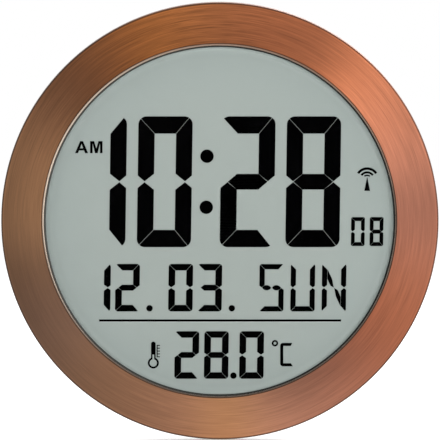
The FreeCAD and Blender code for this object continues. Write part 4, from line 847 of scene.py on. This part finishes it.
bright = brushed_steel("drawn_can", (0.66, 0.66, 0.65), 0.22)
can_radius = 1.0 * mm
can_centre, can_size = measure("crystal_can")
can_half = can_size.x
can_outline = [
    (0.02 * mm, -can_half), (can_radius * 0.75, -can_half),
    *bend(can_radius - 0.25 * mm, 0.25 * mm - can_half, 0.25 * mm, 180, 90, 3),
    (can_radius, can_half - 0.9 * mm), (can_radius * 0.9, can_half - 0.7 * mm),
    (can_radius * 0.98, can_half - 0.5 * mm), (can_radius * 0.98, can_half)]
turned("quartz_tube", can_outline, 32, can_centre, bright, "bright_can", "crystal_can", 40,
       across=True)

cap_across, cap_height, cap_pitch = -28 * mm, -78 * mm, 8 * mm
cap_radius, cap_long, cap_stripe, cap_fold = 2.5 * mm, 5.4 * mm, 1.9 * mm, 0.25 * mm
cap_top = board_back - cap_long
sleeve = Finish("capacitor_sleeve", (0.02, 0.025, 0.06), 0.35)
sleeve_across = sleeve.place(centre=dial_spot(cap_across, cap_height)).part(0)
from_axis = (sleeve_across + cap_pitch / 2).fold(cap_pitch / 2)
stripe = (from_axis < cap_pitch / 2 - cap_stripe) * (sleeve_across < 0)
bare_top = sleeve.place().part(1) > cap_fold - cap_top
sleeve_colour = sleeve.mix(stripe, (0.02, 0.025, 0.06), (0.45, 0.46, 0.5))
sleeve.set("Base Color", sleeve.mix(bare_top, sleeve_colour, (0.6, 0.6, 0.62)))
sleeve.set("Metallic", bare_top)
sleeve.rub(200.0, 0.3, 0.15)
cap_outline = [
    (0.05 * mm, cap_top + 0.15 * mm), (1.7 * mm, cap_top + 0.15 * mm),
    (1.85 * mm, cap_top), (cap_radius - 0.25 * mm, cap_top),
    *bend(cap_radius - 0.2 * mm, cap_top + 0.2 * mm, 0.2 * mm, 150, 90, 3),
    (cap_radius, board_back - 1.6 * mm), (cap_radius - 0.25 * mm, board_back - 1.35 * mm),
    (cap_radius, board_back - 1.1 * mm), (cap_radius, board_back)]
cap = lathe("capacitor_cans", cap_outline, 40, dial_spot(cap_across, cap_height))
smooth(cap, 40)
join([cap, copy_by(cap, (cap_pitch, 0, 0))])
settle(cap, sleeve, "capacitor_can", "board_capacitors")


# The chip resistors are black ceramic blocks with tinned ends, soldered flat on the main
# board in a row.
ceramic = Finish("chip_resistor", (0.015, 0.015, 0.016), 0.45)
resistor_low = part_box("board_resistors")[0]
chip_pitch, chip_long, chip_end = 4 * mm, 2 * mm, 0.4 * mm
chip_across = ceramic.place(centre=resistor_low).part(0) % chip_pitch
tinned = (chip_across < chip_end) + (chip_across > chip_long - chip_end)
ceramic.set("Base Color", ceramic.mix(tinned, (0.015, 0.015, 0.016), (0.6, 0.6, 0.58)))
ceramic.set("Metallic", tinned * 0.9)
ceramic.rub(900.0, 0.35, 0.2)
soften("board_resistors", "chip_resistors", ceramic, "chip_resin", width=0.08 * mm)


# Each switch is a moulded block under a steel cover, and its plunger stands out of the
# cover and pushes a sprung dome. The plungers move with their keys.
switch = Finish("switch_body", (0.02, 0.02, 0.02), 0.45)
cover_deep = 0.45 * mm
cover = switch.place().part(1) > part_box("tact_switches")[1].y - cover_deep
switch.set("Base Color", switch.mix(cover, (0.02, 0.02, 0.02), (0.55, 0.55, 0.54)))
switch.set("Metallic", cover * 0.95)
switch.rub(400.0, 0.3, 0.25)
soften("tact_switches", "key_switches", switch, "switch_plastic", width=0.15 * mm)
key_pitch, key_row = 16 * mm, -60 * mm
keys = {"set": -2, "up": -1, "down": 0, "wave": 1, "reset": 2}
plunger_low, plunger_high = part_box("plunger_set")
plunger_radius = (plunger_high.x - plunger_low.x) / 2
plunger_back, plunger_front = -plunger_high.y, -plunger_low.y
plunger_outline = [
    (0.05 * mm, plunger_back), (plunger_radius - 0.35 * mm, plunger_back),
    *bend(plunger_radius - 0.3 * mm, plunger_back + 0.3 * mm, 0.3 * mm, 165, 90, 4),
    (plunger_radius, plunger_front), (0.05 * mm, plunger_front)]
plunger_tan = make_moulded("plunger_tan", (0.42, 0.34, 0.22), grain=0.3 * mm)
plunger_spot = dial_spot(keys["set"] * key_pitch, key_row)
plunger = lathe("plunger_pin_set", plunger_outline, 36, plunger_spot)
smooth(plunger, 40)
for name, step in keys.items():
    pin = plunger
    if name != "set":
        pin = copy_by(plunger, ((step + 2) * key_pitch, 0, 0), "plunger_pin_" + name)
    settle(pin, plunger_tan, "plunger_plastic", "plunger_" + name, body="key_" + name)


# The aerial is a ground ferrite rod with a coil of enamelled copper wire, clipped into two
# moulded holders. The receiver's chip sits on a small board of its own beside it.
ferrite = Finish("ground_ferrite", (0.045, 0.045, 0.05), 0.5, metallic=0.3)
pores = ferrite.noise(ferrite.place(scale=(0.2, 1, 1)), 700.0, detail=4.0, rough=0.7)
ferrite.set("Base Color", ferrite.tint((0.045, 0.045, 0.05), 0.6 + 0.8 * pores))
ferrite.set("Roughness", 0.38 + 0.3 * pores)
ferrite.bump(pores, 0.02 * mm)
rod_centre, rod_size = measure("ferrite_rod")
rod_half, rod_radius, rod_chamfer = rod_size.x, 5 * mm, 0.5 * mm
rod_outline = [
    (0.05 * mm, -rod_half), (rod_radius - rod_chamfer, -rod_half),
    (rod_radius, rod_chamfer - rod_half), (rod_radius, rod_half - rod_chamfer),
    (rod_radius - rod_chamfer, rod_half), (0.05 * mm, rod_half)]
turned("aerial_rod", rod_outline, 64, rod_centre, ferrite, "ferrite", "ferrite_rod", across=True)

enamel = Finish("enamelled_copper", (0.42, 0.15, 0.05), 0.3, metallic=0.75)
turns_tone = enamel.noise(enamel.place(scale=(8, 1, 1)), 160.0)
enamel.set("Base Color", enamel.mix(turns_tone, (0.30, 0.09, 0.03), (0.55, 0.22, 0.08)))
enamel.rub(500.0, 0.25, 0.15)
coil_radius, coil_half, wire_pitch = 6.4 * mm, 14 * mm, 0.5 * mm
coil_outline = [(rod_radius + 0.05 * mm, -coil_half)]
for turn in range(int(2 * coil_half / wire_pitch)):
    start = turn * wire_pitch - coil_half
    coil_outline += [
        (coil_radius - drop * mm, start + step * mm)
        for drop, step in ((0.16, 0.02), (0, 0.17), (0, 0.33), (0.16, 0.48))]
coil_outline.append((rod_radius + 0.05 * mm, coil_half))
turned("aerial_coil", coil_outline, 64, rod_centre, enamel, "coil_wire", "antenna_coil", 60,
       close="bridge", across=True)
holder_plastic = make_moulded("holder_plastic", (0.32, 0.33, 0.34))
for node, name, finish, slot, width in (
        ("antenna_holders", "rod_holders", holder_plastic, "carrier_plastic", 0.3 * mm),
        ("receiver_board", "receiver_laminate", green_board, "board_laminate", 0.1 * mm),
        ("receiver_chip", "receiver_circuit", resin, "chip_resin", 0.2 * mm)):
    soften(node, name, finish, slot, width)


# The temperature sensor is a thermistor dipped in dark resin. It hangs on its two leads
# behind the case's vents.
bead_centre, bead_size = measure("temperature_sensor")
bead_half, bead_radius = bead_size.x, bead_size.z
bead_resin = Finish("dipped_bead", (0.10, 0.035, 0.018), 0.25)
bead_resin.speckle(300.0, (0.10, 0.035, 0.018), 0.7, 0.6)
bead_outline = [
    (0.03 * mm, -bead_half), *bend(0, bead_radius - bead_half, bead_radius, 172, 90, 6),
    (bead_radius * 0.8, bead_half - 0.5 * mm), (bead_radius * 0.35, bead_half)]
turned("sensor_drop", bead_outline, 32, bead_centre, bead_resin, "sensor_bead",
       "temperature_sensor", 60, across=True)


# Insulated wires run from the sensor, the receiver and the battery box to pads on the
# board. Each lies on one smooth line, held at both ends by its solder.
def make_insulation(name, colour):
    wall = Finish(name, colour, 0.42)
    wall.speckle(260.0, colour, 0.75, 0.4, detail=3.0)
    wall.rub(260.0, 0.34, 0.2, detail=3.0)
    return wall


def draw_wire(name, points, radius, kind="NURBS"):
    """A round wire led smoothly along points, or straight from each to the next ("POLY")."""
    curve = bpy.data.curves.new(name, "CURVE")
    curve.dimensions = "3D"
    curve.bevel_depth, curve.bevel_resolution = radius, 3
    curve.resolution_u = 8
    curve.use_fill_caps = True
    line = curve.splines.new(kind)
    line.points.add(len(points) - 1)
    for point, spot in zip(line.points, points):
        point.co = (*spot, 1)
    line.order_u, line.use_endpoint_u = 3, True
    wire = bpy.data.objects.new(name, curve)
    bpy.context.scene.collection.objects.link(wire)
    pick(wire)
    bpy.ops.object.convert(target="MESH")
    return bpy.context.active_object


def run_wires(name, routes, radius, finish, slot, node):
    """Insulated wires along (across, depth, height) points in millimetres on the dial."""
    wires = join([
        draw_wire(name, [dial_spot(x * mm, height * mm, y * mm) for x, y, height in route], radius)
        for route in routes])
    smooth(wires, 50)
    settle(wires, finish, slot, node)


thin_radius, thick_radius = 0.4 * mm, 0.65 * mm
grey_insulation = make_insulation("grey_insulation", (0.48, 0.48, 0.46))
board_mm = board_back / mm
run_wires("sensor_wires", [
    [(-76, 7, level), (-70, 7, level), (-63, 7, pad + 1), (-54, 7, pad), (-54, board_mm, pad)]
    for level, pad in ((-55.7, -59.5), (-54.3, -56.5))],
    thin_radius, grey_insulation, "thin_wire", "sensor_leads")
receiver_face = -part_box("receiver_board")[1].y / mm
run_wires("receiver_wires", [
    [(42 + step, receiver_face, 40.5), (42 + step, 10.5, 40.5), (42.5 + step, 9.5, 22),
     (43 + step, 9, -4), (44 + step, 8.5, -30), (44 + step, 8, -47.5), (44 + step, board_mm, -47.5)]
    for step in (0, 2.2, 4.4)],
    thin_radius, grey_insulation, "thin_wire", "receiver_leads")
tab_reach, cell_height = 33 * mm, 7.75 * mm
tab_mm, cell_mm, lead_mm = tab_reach / mm, cell_height / mm, 12.6 - thick_radius / mm
for name, tone, tint, level, bends in (
        ("positive_wire", "red", (0.42, 0.02, 0.014), cell_mm,
         [(-tab_mm - 4.5, lead_mm, cell_mm), (-43, 9.5, -8), (-50.5, 8, -28), (-54, 7, -50),
          (-54, board_mm, -50)]),
        ("negative_wire", "black", (0.014, 0.014, 0.015), -cell_mm,
         [(-tab_mm - 3.5, lead_mm, -cell_mm), (-39.5, 10, -20), (-43, 8, -36), (-44, 7, -50),
          (-44, board_mm, -50)])):
    run_wires(name, [[(1 - tab_mm, lead_mm, level)] + bends], thick_radius,
              make_insulation(tone + "_insulation", tint), tone + "_wire", "battery_wire_" + tone)


# The rear case is one moulding in black plastic with a fine spark texture. Four screws in
# wells draw it against the frame, and its edges are rounded as the mould leaves them.
case_black = make_moulded(
    "case_plastic", (0.018, 0.018, 0.019), grain=0.5 * mm, relief=0.08 * mm, shine=0.35)
soften("rear_case", "back_shell", case_black, "case_plastic",
       width=0.35 * mm, deepest=5 * mm, crease=40)
well_floor, case_tip = 8 * mm, 19.5 * mm
make_screws("case_fixings", "case_screws", round_the_dial(post_circle, (0, 90, 180, 270)),
            post_screw, well_floor, case_tip)


# The battery door turns on two pins along its top edge. Ribs and a raised arrow at its foot
# show where a finger lifts it.
soften("battery_door", "door_leaf", case_black, "case_plastic", width=0.3 * mm, body="door")
door_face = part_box("battery_door")[1].y
arrow_centre = dial_spot(0, -6.5 * mm, -door_face)
arrow_radius, arrow_proud, arrow_edge = 3.2 * mm, 0.2 * mm, 0.12 * mm
deselect()
bpy.ops.mesh.primitive_cylinder_add(
    vertices=3, radius=arrow_radius, depth=2 * arrow_proud, location=arrow_centre,
    rotation=(math.pi / 2, math.pi, 0))
arrow = bpy.context.active_object
arrow.name = "door_arrow"
bpy.ops.object.transform_apply()
start_edit()
bpy.ops.mesh.bevel(offset=arrow_edge, segments=2, affect="EDGES")
end_edit()
smooth(arrow)
settle(arrow, case_black, "case_plastic", body="door")


# Two AA cells lie head to tail. Each is a steel can in a printed plastic sleeve that is
# shrunk over both shoulders and leaves the poles bare.
def make_cell_finish(name, centre, way):
    """The sleeve has a pale band and a plus mark towards the raised pole. way is its side."""
    cell = Finish(name, (0.05, 0.06, 0.08), 0.28)
    spot = cell.place(centre=centre)
    along = spot.part(0) * way
    up, out = spot.part(2), spot.part(1)
    bare_radius, band_start, line_start, line_end = 6.55 * mm, 13 * mm, 11.6 * mm, 12.2 * mm
    plus_at, minus_at, arm, thick = 18 * mm, 19 * mm, 2.0 * mm, 0.45 * mm
    steel = (up * up + out * out) ** 0.5 < bare_radius
    band = along > band_start
    line = (along > line_start) * (along < line_end)
    side, rise, far = abs(along - plus_at), abs(up), abs(along + minus_at)
    plus = (side < arm) * (rise < thick) + (side < thick) * (rise < arm)
    minus = (far < thick) * (rise < arm)
    colour = cell.mix(band, (0.035, 0.045, 0.06), (0.50, 0.52, 0.54))
    colour = cell.mix(line, colour, (0.50, 0.52, 0.54))
    colour = cell.mix(plus, colour, (0.03, 0.035, 0.045))
    colour = cell.mix(minus, colour, (0.55, 0.56, 0.58))
    colour = cell.tint(colour, 0.9 + 0.2 * cell.noise(cell.place(), 220.0))
    cell.set("Base Color", cell.mix(steel, colour, (0.60, 0.60, 0.59)))
    cell.set("Metallic", 0.35 + 0.65 * steel)
    cell.set("Roughness", 0.24 + 0.14 * cell.noise(cell.place(), 500.0) + 0.06 * steel)
    return cell


cell_radius, cell_half = 7.25 * mm, 24.65 * mm
nub_radius, nub_long = 2.75 * mm, 1.2 * mm
cell_depth = 9.8 * mm
cell_outline = [
    (0.1 * mm, -cell_half), (4.6 * mm, -cell_half), (4.9 * mm, 0.3 * mm - cell_half),
    (6.3 * mm, 0.35 * mm - cell_half), (6.6 * mm, 0.1 * mm - cell_half),
    *bend(cell_radius - 0.6 * mm, 0.65 * mm - cell_half, 0.6 * mm, 170, 90, 5),
    *bend(cell_radius - 0.9 * mm, cell_half - 0.95 * mm, 0.9 * mm, 90, 12, 6),
    (5.6 * mm, cell_half - 0.25 * mm), (nub_radius + 0.5 * mm, cell_half - 0.25 * mm),
    (nub_radius, cell_half), (nub_radius, cell_half + nub_long - 0.3 * mm),
    *bend(nub_radius - 0.3 * mm, cell_half + nub_long - 0.3 * mm, 0.3 * mm, 60, 0, 3),
    (0.1 * mm, cell_half + nub_long)]
for name, way, height in (("upper", -1, cell_height), ("lower", 1, -cell_height)):
    centre = dial_spot(0, height, cell_depth)
    outline = [(radius, place * way) for radius, place in cell_outline]
    sleeve_finish = make_cell_finish("cell_sleeve_" + name, centre, way)
    turned("cell_" + name, outline, 72, centre, sleeve_finish, "cell_sleeve",
           "battery_cell_" + name, across=True)


# The contacts are nickel-plated spring steel: plates with a pressed dimple for the raised
# poles, and conical springs wound in one with their plates for the flat ends.
nickel = brushed_steel("nickel_plate", (0.60, 0.59, 0.56), 0.26)
soften("contact_positive", "positive_plate", nickel, "contact_steel", width=0.08 * mm)
contact_half_wide, contact_sheet = 5.5 * mm, 0.4 * mm
contact_low, contact_top = 3.4 * mm, 16.2 * mm
spring_wire, spring_wide, spring_narrow = 0.35 * mm, 3.6 * mm, 1.9 * mm


def make_plate(name, inner, low, high):
    """A sheet contact that stands across the box, from one height to another."""
    size = (contact_sheet, contact_top - contact_low, high - low)
    middle = dial_spot(inner, (low + high) / 2, (contact_low + contact_top) / 2)
    plate = block(name, size, middle)
    start_edit()
    bpy.ops.mesh.select_all(action="SELECT")
    bpy.ops.mesh.bevel(offset=0.1 * mm, segments=2, affect="EDGES")
    end_edit()
    return plate


def make_cell_spring(name, base, tip, height):
    """A cone of wire, from its wide turn on the plate to its narrow turn on the cell."""
    way = 1 if tip > base else -1
    start, end = base + way * spring_wire, tip - way * spring_wire
    centre = dial_spot(0, height, cell_depth)
    turns, steps = 3, 32
    points = []
    for step in range(turns * steps + 1):
        share = step / (turns * steps)
        radius = spring_wide + (spring_narrow - spring_wide) * share
        angle = 2 * math.pi * step / steps
        points.append(centre + Vector((
            start + (end - start) * share, radius * math.cos(angle), radius * math.sin(angle))))
    return draw_wire(name, points, spring_wire, "POLY")


def make_dimple(name, base, reach, height):
    """A pressed boss with a rounded crown. reach is how far it stands out, with its sign."""
    outline = [
        (0.05 * mm, 0), (nub_radius, 0), (nub_radius * 0.96, reach * 0.4),
        (nub_radius * 0.8, reach * 0.85), (nub_radius * 0.5, reach), (0.05 * mm, reach)]
    centre = dial_spot(0, height, cell_depth) + Vector((base, 0, 0))
    return lathe(name, outline, 32, centre, across=True)


box_half_wide, contact_gap = 28.75 * mm, 0.05 * mm
plate_wall = box_half_wide - contact_gap
sheet_face = plate_wall - contact_sheet
plate_middle = plate_wall - contact_sheet / 2
cell_tip = cell_half + nub_long + contact_gap
tab_half, tab_depth = 1.5 * mm, 12.8 * mm
tab = block("solder_tab", (tab_reach - sheet_face, contact_sheet, 2 * tab_half),
            dial_spot(-(tab_reach + sheet_face) / 2, -cell_height, tab_depth))
negative = join([
    make_plate("negative_spring", -plate_middle, -cell_height - contact_half_wide,
               -cell_height + contact_half_wide),
    tab,
    make_cell_spring("negative_coil", -sheet_face, -cell_half - contact_gap, -cell_height)])
smooth(negative)
settle(negative, nickel, "contact_steel", "contact_negative_spring")
bridge = join([
    make_plate("bridge_plate", plate_middle, -cell_height - contact_half_wide,
               cell_height + contact_half_wide),
    make_dimple("bridge_boss", sheet_face, cell_tip - sheet_face, -cell_height),
    make_cell_spring("bridge_coil", sheet_face, cell_half + contact_gap, cell_height)])
smooth(bridge)
settle(bridge, nickel, "contact_steel", "contact_bridge")


# The keys are moulded in grey plastic, dished for a fingertip, with a collar that keeps
# them behind the panel. The reset key is thinner and lies below the edge of its hole.
key_grey = make_moulded("key_plastic", (0.12, 0.12, 0.125), grain=0.3 * mm, relief=0.015 * mm)
collar_radius, collar_back, collar_front = 4.6 * mm, 5.15 * mm, 6.2 * mm
stem_radius = 1.6 * mm


def make_key(name, radius, back, dish):
    """A turned key on its stem, at the place of its plunger."""
    edge = min(0.6 * mm, radius * 0.3)
    inside = radius - 1.3 * edge
    outline = [
        (0.03 * mm, back + dish),
        *((inside * share, back + dish * (1 - share ** 2)) for share in (0.3, 0.55, 0.8, 1.0)),
        *bend(radius - edge, back + edge, edge, 170, 90, 5),
        (radius, collar_back), (collar_radius, collar_back), (collar_radius, collar_front),
        (stem_radius, collar_front), (stem_radius, plunger_back), (0.03 * mm, plunger_back)]
    key = lathe("key_cap_" + name, outline, 56, dial_spot(keys[name] * key_pitch, key_row))
    smooth(key)
    return key


caps = {"set": make_key("set", 3.5 * mm, 1.0 * mm, 0.35 * mm),
        "reset": make_key("reset", 1.5 * mm, 3.3 * mm, 0.15 * mm)}
for name, step in keys.items():
    if name not in caps:
        caps[name] = copy_by(caps["set"], ((step + 2) * key_pitch, 0, 0), "key_cap_" + name)
    settle(caps[name], key_grey, "key_plastic", "button_" + name, body="key_" + name)


# The word or sign for each key is printed in white on the recessed panel, above the key.
# It is read from behind, so it runs from right to left as seen from the front.
print_white = Finish("printed_white", (0.62, 0.62, 0.60), 0.6)
print_white.speckle(900.0, (0.62, 0.62, 0.60), 0.8, 0.35)
panel_depth, print_thick, print_high = 3.0 * mm, 0.03 * mm, 2.1 * mm
labels = {"set": "SET", "up": "+", "down": "\u2212", "wave": "WAVE", "reset": "RESET"}
label_rise = 5.9 * mm
for name, word in labels.items():
    deselect()
    bpy.ops.object.text_add(
        location=dial_spot(keys[name] * key_pitch, key_row + label_rise, panel_depth - print_thick),
        rotation=(math.pi / 2, 0, math.pi))
    label = bpy.context.active_object
    label.name = "key_label_" + name
    label.data.body = word
    label.data.align_x, label.data.align_y = "CENTER", "CENTER"
    label.data.size = print_high * (1.5 if len(word) == 1 else 1)
    label.data.extrude = print_thick / 2
    bpy.ops.object.convert(target="MESH")
    bpy.ops.object.transform_apply()
    settle(label, print_white, "key_plastic")


# The hanging plate is punched from zinc-plated steel and held by two sunk screws. The
# wall screw's head goes in at the keyhole's wide end, and its shank slides up the slot.
plate_zinc = brushed_steel("hanger_zinc", (0.50, 0.50, 0.52), 0.33, grain=(0.12, 1, 1))
soften("hanger_plate", "steel_hanger", plate_zinc, "plate_steel", width=0.12 * mm)
hanger_side, hanger_high = 11.6 * mm, 83.5 * mm
hanger_screw = (2.0 * mm, 1.0 * mm, 1.0 * mm)
hanger_seat, hanger_tip = 1.3 * mm, 6.5 * mm
make_screws("hanger_fixings", "hanger_screws",
            [(side * hanger_side, hanger_high) for side in (-1, 1)],
            hanger_screw, hanger_seat, hanger_tip, sunk=True)
